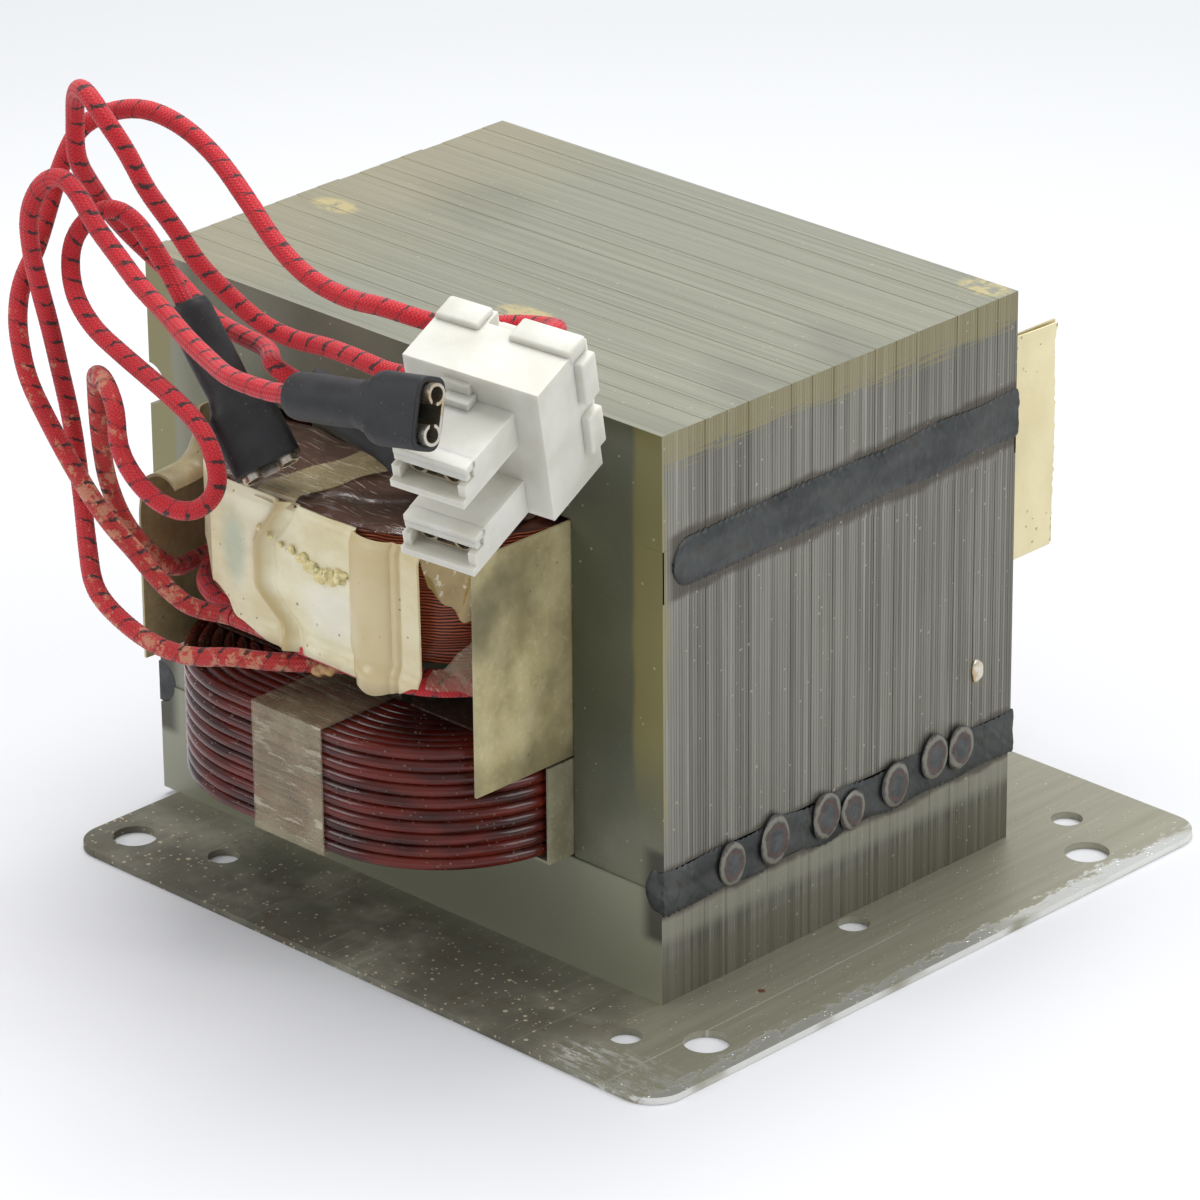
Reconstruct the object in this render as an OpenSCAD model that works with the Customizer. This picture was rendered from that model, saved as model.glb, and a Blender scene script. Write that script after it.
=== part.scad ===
// Welded shell-type power transformer on a flat steel foot plate.
// X runs across the laminations' width, Y through the stack, Z up.
// The frame's origin lies on the plate's underside, below the centre of the core.

/* [Foot plate] */
// Width of the plate along X
plate_w = 111; // [106:0.5:135]
// Depth of the plate along Y
plate_d = 109.5; // [108:0.5:135]
// Thickness of the plate
plate_t = 1; // [0.8:0.1:3]
// Radius of the plate's corners
plate_r = 5; // [2:0.5:8]
// How far the plate's centre lies beyond the core's centre along X
plate_shift = 10.5; // [6:0.5:12]
// Diameter of the four large fixing holes
foot_hole_d = 6.2; // [4:0.1:7]
// Diameter of the small fixing holes
small_hole_d = 4.4; // [3:0.1:5]
// Distance of the right-hand large holes from the plate's right edge
foot_right_inset = 7; // [6:0.1:9]
// Distance of the left-hand large holes from the plate's left edge
foot_left_inset = 5.9; // [6:0.1:9]
// Distance of the right-hand large holes from the front and rear edges
foot_right_edge = 17.1; // [12:0.1:20]
// Distance of the left-hand large holes from the front and rear edges
foot_left_edge = 7; // [6:0.1:9]
// Spacing of the small holes along X
small_pitch_x = 76; // [70:1:80]
// Distance of the small holes from the front and rear edges
small_edge = 11.1; // [9:0.1:13]
// Gap between the core's side and the small holes beside it
small_core_gap = 0.1; // [0.1:0.1:1]

/* [Core] */
// Thickness of one steel sheet
sheet_t = 0.5; // [0.35:0.05:0.65]
// Number of sheets in the stack
sheet_count = 136; // [80:8:176]
// Sheets in one packet of the stack
packet_sheets = 8; // [4:4:16]
// How far the edges of the packets stand back from each other
packet_step = 0.1; // [0:0.05:0.2]
// Width of the centre leg
centre_leg_w = 32; // [28:1:40]
// Width of each side leg
side_leg_w = 16; // [13:1:20]
// Width of each window
window_w = 16; // [16:0.5:22]
// Height of the windows
window_h = 48; // [48:1:60]
// Height of the yoke that joins the legs at the top
yoke_h = 16; // [13:1:20]
// Height of the I bar below the legs
i_bar_h = 16; // [13:1:20]
// How far the I bar stands forward of the E stack
i_bar_step = 0.3; // [0:0.1:0.6]

/* [Welds] */
// Radius of the weld grooves along the core's sides
groove_r = 3; // [2:0.1:3.5]
// Height of the upper grooves above the core's underside
upper_groove_h = 60.5; // [50:0.5:70]
// Gap left between a bead and its groove
weld_gap = 0.05; // [0.02:0.01:0.1]
// How far the upper beads stop short of the stack's ends
upper_weld_end = 4; // [0:0.5:10]
// Height by which a bead stands proud of the core's side
bead_crown = 0.4; // [0:0.1:1]

/* [Primary winding] */
// Pitch of the primary wire
primary_pitch = 1.75; // [1.4:0.05:2]
// Turns in one layer of the primary
primary_rows = 10; // [6:1:10]
// Layers of the primary
primary_layers = 8; // [5:1:8]
// How far the primary's end turns reach beyond the core
primary_reach = 23; // [18:1:28]
// Radius of the primary's outer corners in plan
primary_corner_r = 22; // [18:1:24]
// Gap between the window's floor and the primary
primary_floor_gap = 1.2; // [1:0.1:2]
// Gap between the centre leg and the inner side of the windings
leg_gap = 1; // [0.9:0.1:1.5]

/* [Secondary winding] */
// Height of the secondary
secondary_h = 17.5; // [12:0.5:17.5]
// Build of the secondary from its inner to its outer side
secondary_build = 13.6; // [10:0.1:13.6]
// How far the secondary's end turns reach beyond the core
secondary_reach = 19.3; // [16:0.1:24]
// Radius of the secondary's outer corners in plan
secondary_corner_r = 24; // [18:1:26]
// Radius of the secondary's inner corners in plan
secondary_inner_r = 8; // [4:1:8]
// Gap between the secondary and the window's roof
secondary_roof_gap = 1.2; // [0.8:0.1:2]
// Thickness of the paper and film round the secondary
wrap_t = 0.4; // [0.2:0.1:0.6]
// Clearance between a winding and its wrapping
wrap_gap = 0.2; // [0.1:0.05:0.4]

/* [Shunts and papers] */
// Height of a magnetic shunt
shunt_h = 5.5; // [4:0.5:6]
// Gap between a shunt and the legs on each side of it
shunt_gap = 0.8; // [0.3:0.1:2]
// Thickness of the insulating papers and cards
paper_t = 0.4; // [0.2:0.1:0.5]
// Gap between a paper and the steel behind it
paper_gap = 0.3; // [0.1:0.1:0.4]
// How far the primary's liners reach beyond the core
liner_reach = 4.5; // [2:0.5:8]
// How far the secondary's papers reach beyond the core's front
flap_front = 17.5; // [10:0.5:25]
// How far the secondary's papers reach beyond the core's rear
flap_rear = 27; // [10:0.5:30]
// Height of the lower edge of the secondary's papers above the window's floor
flap_edge_h = 14.5; // [10:0.5:16]
// Width of the left paper's lip folded over the winding
flap_lip_w = 12; // [8:1:14]
// How far the shunt cards reach beyond the core
card_reach = 10; // [4:1:14]
// Width of the tape round the primary's end turns
tape_w = 13; // [8:1:16]
// Thickness of the tape
tape_t = 0.25; // [0.15:0.05:0.4]

/* [Leads] */
// Diameter of the braided leads
lead_d = 2.5; // [2:0.1:3]
// Sideways step between the two turns of the filament winding
filament_pitch = 2.7; // [2.6:0.1:3]

/* [Connector] */
// Width of the connector's body
conn_w = 19.6; // [18:0.2:24]
// Depth of the connector's body along its mating axis
conn_d = 11.8; // [10:0.2:16]
// Height of the connector's body
conn_h = 20.6; // [20:0.2:26]
// Distance between the connector's two ways
conn_pitch = 11.2; // [9:0.1:12]
// Width of a prong
prong_w = 10.7; // [10:0.1:12]
// Thickness of a prong
prong_t = 5.3; // [5:0.1:6]
// Length of a prong's upper wall
prong_l = 10; // [9:0.5:14]
// How far a prong's lower lip reaches beyond its upper wall
prong_lip = 3; // [1:0.5:4]

/* [Receptacles] */
// Outer width of a tab receptacle
tab_w = 7.8; // [7:0.1:8]
// Outer height of a receptacle's rolled sides
roll_d = 2.8; // [2.4:0.1:3]
// Metal thickness of a receptacle
strip_t = 0.4; // [0.3:0.05:0.5]
// Length of a receptacle's tab sleeve
tab_l = 8; // [7:0.5:10]
// Length of a moulded sleeve
sleeve_l = 24; // [22:1:28]
// Wall of a moulded sleeve
sleeve_wall = 0.9; // [0.7:0.1:1.1]
// Width of the primary's tab terminals
blade_w = 6.35; // [4.8:0.05:6.35]
// Thickness of the primary's tab terminals
blade_t = 0.8; // [0.5:0.1:0.8]

/* [Hidden] */

// Core
stack_d = sheet_t * sheet_count;
packet_count = sheet_count / packet_sheets;
packet_d = sheet_t * packet_sheets;
core_w = centre_leg_w + 2 * window_w + 2 * side_leg_w;
core_h = i_bar_h + window_h + yoke_h;
core_front = -stack_d / 2;
core_rear = stack_d / 2;
leg_x = centre_leg_w / 2;
window_x = leg_x + window_w;
window_floor = plate_t + i_bar_h;
window_roof = window_floor + window_h;
core_top = plate_t + core_h;
groove_z = [plate_t + upper_groove_h, window_floor];

// Windings, from the window's floor upwards
coil_x = leg_x + leg_gap;
primary_build = primary_layers * primary_pitch;
primary_h = primary_rows * primary_pitch;
primary_z = window_floor + primary_floor_gap;
primary_top = primary_z + primary_h;
primary_wire_d = primary_pitch * 1.04;
primary_half_w = coil_x + primary_build;
primary_half_d = stack_d / 2 + primary_reach;
secondary_half_w = coil_x + secondary_build;
secondary_half_d = stack_d / 2 + secondary_reach;
secondary_top = window_roof - secondary_roof_gap;
secondary_z = secondary_top - secondary_h;
card_z = primary_top + 0.15;
card_t = 0.3;
shunt_z = card_z + card_t + 0.15;

// Filament winding
filament_r = 14;
filament_half_w = secondary_half_w - lead_d / 2;
filament_half_d = secondary_half_d + 1.2 - lead_d / 2;
filament_z = secondary_z - 0.75 - lead_d / 2;
filament_dive = lead_d + 0.2;
filament_start_x = -11;

// Plate holes
plate_right = plate_shift + plate_w / 2;
plate_left = plate_shift - plate_w / 2;
small_right_x = core_w / 2 + small_core_gap + small_hole_d / 2;
small_y = plate_d / 2 - small_edge;

// Where the connector and the sleeves lie
conn_at = [35, -49, plate_t + 85];
conn_turn = [18.5, 5, 13.5];
sleeve_front_at = [19, -69, plate_t + 88];
sleeve_front_turn = [-20, -10, 0];
sleeve_left_at = [-20, -52, plate_t + 84.5];
sleeve_left_turn = [-54, 47.5, -4];
sleeve_back_at = [-2, -48, plate_t + 77];
sleeve_back_turn = [80, 26, 22];
way_x = 0.6;
way_upper_z = 3.1;
way_z = [way_upper_z, way_upper_z - conn_pitch];
boss_l = 2;
entry_l = 3;
lead_in = 1.5;

// Free routes of the leads, with Z measured from the core's underside
upper_route = [[-13.5, -53.5, 43.2], [-17, -56, 44], [-21, -57.5, 47], [-24.5, -58.5, 50.5], [-27.5, -60, 54],
  [-31, -61, 58.5], [-34, -61.5, 62.5], [-37, -62, 67], [-39.5, -62.5, 71.5],
  [-41.5, -62, 75.5], [-42.5, -61.5, 79.5], [-43, -60, 84], [-42, -58, 88.5],
  [-41, -56.5, 94], [-40, -55, 99.5], [-38, -53.5, 104.5], [-34, -52, 107.5],
  [-28.5, -50.5, 109], [-22.5, -49.5, 108], [-16.5, -49, 105], [-10.5, -49.5, 101],
  [-4.5, -50, 96.5], [1.5, -50, 93.5], [7.5, -49, 92], [12.5, -48, 92], [16.5, -46, 91],
  [19, -42.5, 89.5], [21.5, -38.5, 89], [25, -36, 89.5], [29, -35, 90],
  [32.5, -36.5, 91]];
front_route = [[11, -46.5, 42.3], [6, -48.5, 40.4], [0.5, -52.5, 40.2], [-3, -56, 40.5], [-6, -58.5, 41],
  [-11, -61.5, 40.5], [-16, -63.5, 41.5], [-22, -64, 43.5], [-27, -63.5, 46],
  [-31, -61, 49.5], [-34.5, -58.5, 54], [-37, -57, 59.5], [-38, -57, 65.5],
  [-39, -57.5, 71.5], [-39, -59, 78.5], [-39, -60.5, 84.5], [-38.5, -62, 90],
  [-37.5, -63, 95.5], [-35.5, -62.5, 100], [-32, -62, 102], [-28, -62.5, 100.5],
  [-24.5, -63, 97.5], [-20.5, -63, 94.5], [-15.5, -63.5, 91.5], [-10.5, -64, 89.5],
  [-5, -65.5, 88], [1, -67, 87], [7, -69, 87]];
left_route = [[-29.2, -42, 43.3], [-28.5, -45.5, 43.6], [-27, -49.5, 44.5], [-27.8, -53.5, 48], [-30, -55.5, 52.5],
  [-31.5, -56.5, 57.5], [-32, -57, 62.5], [-32.5, -57, 67.5], [-32, -57.5, 71.5],
  [-29.5, -59.5, 74.5], [-25.5, -61.5, 75], [-22, -63, 72.5], [-20.5, -64, 68],
  [-16.5, -64.5, 64.5], [-12, -63.8, 62.2], [-8, -62.2, 62.3], [-5.6, -60.6, 65.6],
  [-6.8, -60.1, 70], [-10.2, -59.4, 72.9], [-14.9, -59.1, 74.9], [-21, -58.5, 76.5],
  [-26.5, -58.5, 78.5], [-31, -58.5, 80.5], [-35, -58, 84], [-36.5, -57, 89],
  [-35, -56, 93], [-32, -54, 95.5], [-28.5, -53, 94.5], [-25.5, -52.5, 91.5]];
jumper_route = [[32, -36, 81.3], [29.5, -33.5, 83], [25.5, -34, 83.8], [22, -37, 83.5], [19.5, -41, 83],
  [16.5, -44.5, 82.5], [12.5, -46.5, 82.5], [7.5, -47, 83], [1, -47, 83], [-4, -48, 83],
  [-8.5, -49.5, 84.5], [-12.5, -51, 87.5], [-16, -53, 91.5], [-18.5, -54.5, 96],
  [-21, -57, 101.5], [-22.5, -59, 107], [-25, -60.5, 111.5], [-29, -60, 114],
  [-33, -58, 112], [-34.5, -57, 107.5], [-34.5, -57, 102.5], [-35, -54, 97.5],
  [-36, -50.5, 93], [-35.5, -47, 88.5], [-32.5, -44.5, 84.5], [-28, -44, 81.5],
  [-23, -44.5, 79.5], [-17, -45, 79], [-11, -46, 79]];

// ---------------------------------------------------------------- functions

function turn_x(a, p) = [p.x, p.y * cos(a) - p.z * sin(a), p.y * sin(a) + p.z * cos(a)];
function turn_y(a, p) = [p.x * cos(a) + p.z * sin(a), p.y, p.z * cos(a) - p.x * sin(a)];
function turn_z(a, p) = [p.x * cos(a) - p.y * sin(a), p.x * sin(a) + p.y * cos(a), p.z];
// A local point carried into the part's frame by a rotation and a place
function placed(at, turn, p) = at + turn_z(turn.z, turn_y(turn.y, turn_x(turn.x, p)));
function unit(v) = v / norm(v);

// Point on a Catmull-Rom curve through p1 and p2
function spline(p0, p1, p2, p3, t) =
  0.5 * ((2 * p1) + (p2 - p0) * t + (2 * p0 - 5 * p1 + 4 * p2 - p3) * t * t
  + (3 * p1 - p0 - 3 * p2 + p3) * t * t * t);
// Smooth path through route points, with steps points for each span
function smooth(route, steps = 2) = let(last = len(route) - 1) [
  for (i = [0 : last - 1], s = [0 : steps - 1])
    spline(route[max(i - 1, 0)], route[i], route[i + 1], route[min(i + 2, last)], s / steps),
  route[last]];
// Direction of a path at point i
function along(path, i) = unit(path[min(i + 1, len(path) - 1)] - path[max(i - 1, 0)]);
// Side vector carried from ring to ring without twisting
function carried(side, dir) = unit(side - (side * dir) * dir);
function first_side(dir) = carried(abs(dir.z) < 0.9 ? [0, 0, 1] : [1, 0, 0], dir);
function sides(path, i = 0, side = undef) = i == len(path) ? [] :
  let(dir = along(path, i), s = is_undef(side) ? first_side(dir) : carried(side, dir))
  concat([s], sides(path, i + 1, s));

// Rounded rectangle walked once round in plan, starting at the middle of the front
function track_arc(cx, cy, r, a0, steps) = [for (k = [1 : steps])
  [cx + r * cos(a0 + 90 * k / steps), cy + r * sin(a0 + 90 * k / steps)]];
function track_lap(hw, hd, r, steps = 4) = concat(
  [[0, -hd], [hw - r, -hd]], track_arc(hw - r, r - hd, r, -90, steps),
  [[hw, 0], [hw, hd - r]], track_arc(hw - r, hd - r, r, 0, steps),
  [[0, hd], [r - hw, hd]], track_arc(r - hw, hd - r, r, 90, steps),
  [[-hw, 0], [-hw, r - hd]], track_arc(r - hw, r - hd, r, 180, steps));

// Smooth step from 0 to 1 as v goes from a to b
function ease(a, b, v) = let(t = min(max((v - a) / (b - a), 0), 1)) t * t * (3 - 2 * t);
// How far the filament winding lies inside its outer turn after f laps
function filament_inset(f) = filament_pitch * (ease(0.42, 0.6, f) - ease(1.45, 1.6, f));
// How far it dips so that its end can pass below the first turn
function filament_dip(f) = filament_dive * (ease(1.3, 1.43, f) - ease(1.57, 1.68, f));
function filament_point(i) = let(f = i / lap_n, inset = filament_inset(f),
  lap = track_lap(filament_half_w - inset, filament_half_d - inset, filament_r - inset),
  p = lap[i % lap_n])
  [p.x, p.y, filament_z - filament_dip(f)];

lap_n = 24;
filament_n = 43;
filament_path = concat([[filament_start_x, -filament_half_d, filament_z]],
  [for (i = [0 : filament_n]) filament_point(i)]);

// Superellipse section of a sleeve, half width a and half height b
function oval(a, b, n, count) = [for (k = [0 : count - 1]) let(c = cos(360 * k / count), s = sin(360 * k / count))
  [a * sign(c) * pow(abs(c), 2 / n), b * sign(s) * pow(abs(s), 2 / n)]];

// ---------------------------------------------------------------- shared shapes

// Closed tube through the points of a path
module tube(path, d, count = 8) {
  frames = sides(path);
  rings = len(path);
  points = [for (i = [0 : rings - 1], k = [0 : count - 1])
    let(dir = along(path, i), s = frames[i], a = 360 * (k + 0.5) / count)
    path[i] + d / 2 * (cos(a) * s + sin(a) * cross(dir, s))];
  walls = [for (i = [0 : rings - 2], k = [0 : count - 1])
    let(a = i * count + k, b = i * count + (k + 1) % count)
    [a, a + count, b + count, b]];
  ends = [[for (k = [0 : count - 1]) k],
    [for (k = [count - 1 : -1 : 0]) (rings - 1) * count + k]];
  polyhedron(points, concat(walls, ends), convexity = 8);
}

// Rounded rectangle in plan, half sizes hw and hd
module track(hw, hd, r) {
  for (sx = [-1, 1], sy = [-1, 1])
    translate([sx * (hw - r), sy * (hd - r)]) circle(r, $fn = 96);
  square([2 * hw, 2 * (hd - r)], center = true);
  square([2 * (hw - r), 2 * hd], center = true);
}

// Ring between two rounded rectangles a build apart
module ring(hw, hd, r, build, inner_r, h) {
  linear_extrude(h) difference() {
    track(hw, hd, r);
    track(hw - build, hd - build, inner_r);
  }
}

// Section of a winding: wires round the rim of a solid block, from the origin out and up
module wire_section(layers, rows, pitch, wire_d) {
  translate([pitch / 2, pitch / 2]) {
    square([(layers - 1) * pitch, (rows - 1) * pitch]);
    for (i = [0 : layers - 1], j = [0, rows - 1])
      translate([i * pitch, j * pitch]) circle(wire_d / 2, $fn = 24);
    for (i = [0, layers - 1], j = [1 : rows - 2])
      translate([i * pitch, j * pitch]) circle(wire_d / 2, $fn = 24);
  }
}

module side_run(inner_x, length) {
  translate([inner_x, length / 2, 0]) rotate([90, 0, 0]) linear_extrude(length) children();
}

// ---------------------------------------------------------------- foot plate

module base_plate() {
  color("#6f6c5c") difference() {
    translate([plate_shift, 0, 0]) linear_extrude(plate_t) track(plate_w / 2, plate_d / 2, plate_r);
    for (s = [-1, 1]) {
      plate_hole(plate_right - foot_right_inset, s * (plate_d / 2 - foot_right_edge), foot_hole_d);
      plate_hole(plate_left + foot_left_inset, s * (plate_d / 2 - foot_left_edge), foot_hole_d);
      plate_hole(small_right_x, s * small_y, small_hole_d);
      plate_hole(small_right_x - small_pitch_x, s * small_y, small_hole_d);
    }
    plate_hole(small_right_x, 0, small_hole_d);
  }
}

module plate_hole(x, y, d) {
  translate([x, y, -1]) cylinder(h = plate_t + 2, d = d, $fn = 48);
}

// ---------------------------------------------------------------- core

// Setback of packet i, so that the stack's edges read as separate sheets
function setback(i) = packet_step * ((i * 3) % 4) / 3;

module e_outline(back) {
  difference() {
    translate([back - core_w / 2, window_floor])
      square([core_w - 2 * back, core_top - window_floor - back]);
    for (s = [-1, 1])
      translate([s * (leg_x + window_w / 2), window_floor + window_h / 2 - 0.5])
        square([window_w, window_h + 1], center = true);
  }
}

module i_outline(back) {
  translate([back - core_w / 2, plate_t]) square([core_w - 2 * back, i_bar_h]);
}

module weld_grooves() {
  for (s = [-1, 1], z = groove_z)
    translate([s * core_w / 2, 0, z]) rotate([90, 0, 0])
      cylinder(h = stack_d + 10, r = groove_r, center = true, $fn = 64);
}

module e_laminations() {
  color("#77745f") difference() {
    for (i = [0 : packet_count - 1])
      translate([0, core_front + (i + 1) * packet_d, 0]) rotate([90, 0, 0])
        linear_extrude(packet_d) e_outline(setback(i));
    weld_grooves();
  }
}

module i_laminations() {
  color("#6c6a57") difference() {
    for (i = [0 : packet_count - 1])
      translate([0, core_front - i_bar_step + (i + 1) * packet_d, 0]) rotate([90, 0, 0])
        linear_extrude(packet_d) i_outline(setback(i + 1));
    weld_grooves();
  }
}

// Bead that fills a groove and stands a little proud of the core's side
module bead(side, z, front, rear) {
  depth = rear - front;
  translate([side * core_w / 2, rear, z]) rotate([90, 0, 0]) linear_extrude(depth)
    intersection() {
      circle(groove_r - weld_gap, $fn = 64);
      translate([side * (bead_crown - groove_r), 0])
        square([2 * groove_r, 2 * groove_r], center = true);
    }
}

module upper_weld_left() {
  color("#4a4a4a") bead(-1, groove_z[0], core_front + upper_weld_end, core_rear);
}

module upper_weld_right() {
  color("#4a4a4a") bead(1, groove_z[0], core_front + upper_weld_end, core_rear);
}

module seam_weld_left() {
  color("#3f4448") bead(-1, groove_z[1], core_front, core_rear - 0.5);
}

module seam_weld_right() {
  color("#3f4448") bead(1, groove_z[1], core_front, core_rear - 0.5);
}

// ---------------------------------------------------------------- primary

module primary_section() {
  wire_section(primary_layers, primary_rows, primary_pitch, primary_wire_d);
}

module primary_winding() {
  inner_r = primary_corner_r - primary_build;
  run_y = 2 * (primary_half_d - primary_corner_r);
  run_x = 2 * (primary_half_w - primary_corner_r);
  color("#6b2a22") translate([0, 0, primary_z]) {
    for (s = [0, 180]) rotate([0, 0, s]) {
      side_run(coil_x, run_y) primary_section();
      rotate([0, 0, 90]) side_run(primary_half_d - primary_build, run_x) primary_section();
      for (q = [0, 1])
        translate([(primary_half_w - primary_corner_r), (q == 0 ? 1 : -1) * (primary_half_d - primary_corner_r), 0])
          rotate([0, 0, q == 0 ? 0 : -90]) rotate_extrude(angle = 90, $fn = 96)
            translate([inner_r, 0]) primary_section();
    }
  }
}

// Closed band of tape round an end turn
module tape_band(side) {
  inner_y = primary_half_d - primary_build - wrap_gap;
  outer_y = primary_half_d + wrap_gap;
  low = primary_z - wrap_gap;
  high = primary_top + wrap_gap;
  color("#9d917a") translate([2.5 - tape_w / 2, 0, 0]) rotate([90, 0, 90]) linear_extrude(tape_w)
    difference() {
      translate([side > 0 ? inner_y - tape_t : -outer_y - tape_t, low - tape_t])
        square([outer_y - inner_y + 2 * tape_t, high - low + 2 * tape_t]);
      translate([side > 0 ? inner_y : -outer_y, low]) square([outer_y - inner_y, high - low]);
    }
}

module primary_tape_front() { tape_band(-1); }

module primary_tape_rear() { tape_band(1); }

// Folded channel of paper between the primary and its window
module primary_liner(side) {
  outer = window_x - paper_gap;
  floor_z = window_floor + paper_gap;
  reach = stack_d / 2 + liner_reach;
  wall_top = window_floor + flap_edge_h - 0.4;
  color("#b7ad8e") mirror([side < 0 ? 1 : 0, 0, 0]) {
    translate([outer - paper_t, -reach, floor_z]) cube([paper_t, 2 * reach, wall_top - floor_z]);
    translate([leg_x + paper_gap, -reach, floor_z])
      cube([outer - leg_x - paper_gap, 2 * reach, paper_t]);
    translate([leg_x + paper_gap, core_front, floor_z])
      cube([paper_t, stack_d, primary_top - floor_z]);
  }
}

module primary_liner_left() { primary_liner(-1); }

module primary_liner_right() { primary_liner(1); }

// ---------------------------------------------------------------- primary terminals

board_w = 34;
board_h = 13;
board_t = 1.2;
board_y = primary_half_d + wrap_gap + tape_t + 0.1;
board_z = primary_z + 2.5;
tab_x = 11;
rivet_d = 2.4;

module primary_terminal_board() {
  color("#5b4433") difference() {
    translate([-board_w / 2, board_y, board_z]) cube([board_w, board_t, board_h]);
    for (s = [-1, 1]) translate([s * tab_x, board_y - 1, board_z + 5]) rotate([-90, 0, 0])
      cylinder(h = board_t + 2, d = rivet_d + 0.1, $fn = 32);
  }
}

// Flat tab with a riveted foot
module primary_tab(side) {
  foot_y = board_y + board_t + 0.05;
  color("#b59a5a") translate([side * tab_x, 0, 0]) {
    difference() {
      translate([-blade_w / 2, foot_y, board_z + 1]) cube([blade_w, blade_t, board_h + 9]);
      translate([0, foot_y - 1, board_z + board_h + 7]) rotate([-90, 0, 0])
        cylinder(h = blade_t + 2, d = 1.6, $fn = 24);
      for (s = [-1, 1]) translate([s * blade_w / 2, foot_y - 1, board_z + board_h + 10])
        rotate([0, 45, 0]) cube([1.8, 2 * blade_t + 4, 1.8], center = true);
    }
    translate([0, board_y, board_z + 5]) rotate([-90, 0, 0])
      cylinder(h = board_t + blade_t + 0.05, d = rivet_d, $fn = 32);
    translate([0, foot_y + blade_t, board_z + 5]) rotate([-90, 0, 0])
      cylinder(h = 0.6, d = rivet_d + 1.6, $fn = 32);
  }
}

module primary_tab_left() { primary_tab(-1); }

module primary_tab_right() { primary_tab(1); }

// ---------------------------------------------------------------- shunts

module shunt(side) {
  w = window_w - 2 * shunt_gap;
  leaf = shunt_h / 5;
  color("#5f6358") translate([side * (leg_x + window_w / 2), 0, 0])
    for (i = [0 : 4])
      translate([-w / 2 + (i % 2) * 0.1, core_front + (i % 2) * 0.1, shunt_z + i * leaf])
        cube([w - (i % 2) * 0.2, stack_d - (i % 2) * 0.2, leaf]);
}

module shunt_left() { shunt(-1); }

module shunt_right() { shunt(1); }

// Dark card between the primary and a shunt, flared where it leaves the window
module shunt_card(side) {
  reach = stack_d / 2 + card_reach;
  outer = window_x - 2 * paper_gap - paper_t - 0.1;
  end = [[outer, stack_d / 2], [outer - 2, reach - 3], [outer - 6, reach], [leg_x - 4, reach],
    [leg_x - 6, reach - 3], [leg_x - 4, stack_d / 2 + 1], [coil_x, stack_d / 2 + 1]];
  last = len(end) - 1;
  color("#3a2018") mirror([side < 0 ? 1 : 0, 0, 0]) translate([0, 0, card_z]) linear_extrude(card_t)
    polygon(concat(end, [for (i = [last : -1 : 0]) [end[i].x, -end[i].y]]));
}

module shunt_card_left() { shunt_card(-1); }

module shunt_card_right() { shunt_card(1); }

// ---------------------------------------------------------------- secondary and filament

module filament_winding() {
  color("#b3352f") tube(filament_path, lead_d);
}

module secondary_winding() {
  color("#7c4a30") translate([0, 0, secondary_z])
    ring(secondary_half_w, secondary_half_d, secondary_corner_r, secondary_build,
      secondary_inner_r, secondary_h);
}

// Corner of a paper folded round the end turn's rounded corner, a distance r from its centre
function fold(r, a) = [secondary_corner_r - secondary_half_w + r / cos(wrap_fold / 2) * cos(a),
  secondary_corner_r - secondary_half_d + r / cos(wrap_fold / 2) * sin(a)];
wrap_fold = 35;
wrap_end = 24;
function wrap_line(r) = let(f1 = fold(r, -90 - wrap_fold / 2), f2 = fold(r, -90 - 1.5 * wrap_fold),
  front = secondary_corner_r - secondary_half_d - r)
  [(f1 + f2) / 2, f1, [wrap_end - 2, front], [wrap_end + 0.2 * (r - secondary_corner_r), front + 2.2]];

// Stiff paper folded round the outside of an end turn
module end_wrap(side) {
  inner = wrap_line(secondary_corner_r + wrap_gap);
  outer = wrap_line(secondary_corner_r + wrap_gap + wrap_t);
  color("#cfc49a") rotate([0, 0, side > 0 ? 180 : 0]) translate([0, 0, secondary_z - 0.6])
    linear_extrude(secondary_h + 0.6)
      polygon(concat(outer, [for (i = [len(inner) - 1 : -1 : 0]) inner[i]]));
}

module secondary_wrap_front() { end_wrap(-1); }

module secondary_wrap_rear() { end_wrap(1); }

// Film stretched over the top of an end turn
module end_film(side) {
  start = stack_d / 2 + 0.5;
  color("#8a6f52") translate([0, 0, secondary_top + 0.15]) linear_extrude(0.25)
    intersection() {
      difference() {
        track(secondary_half_w, secondary_half_d, secondary_corner_r);
        track(coil_x, secondary_half_d - secondary_build, secondary_inner_r);
      }
      translate([-secondary_half_w - 1, side > 0 ? start : -start - 40])
        square([2 * secondary_half_w + 2, 40]);
    }
}

module secondary_film_front() { end_film(-1); }

module secondary_film_rear() { end_film(1); }

// Paper between the secondary and the outer side of its window
module slot_paper(side) {
  outer = window_x - paper_gap;
  low = window_floor + flap_edge_h;
  high = window_roof - paper_gap;
  color("#d3c99e") mirror([side < 0 ? 1 : 0, 0, 0])
    translate([outer - paper_t, core_front - flap_front, low])
      cube([paper_t, stack_d + flap_front + flap_rear, high - low]);
}

module slot_paper_left() {
  outer = window_x - paper_gap;
  high = window_roof - paper_gap;
  slot_paper(-1);
  color("#d3c99e") translate([0, 0, high - paper_t]) linear_extrude(paper_t)
    polygon([[-outer, core_front - 0.5], [-outer, core_front - flap_front],
      [-outer + 3, core_front - flap_front + 1], [-outer + flap_lip_w, core_front - flap_front + 6],
      [-outer + flap_lip_w + 2, core_front - 0.5]]);
}

module slot_paper_right() { slot_paper(1); }

// ---------------------------------------------------------------- receptacles and sleeves

barrel_r = 1.65;
barrel_l = 4;
neck_l = 3;

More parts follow.
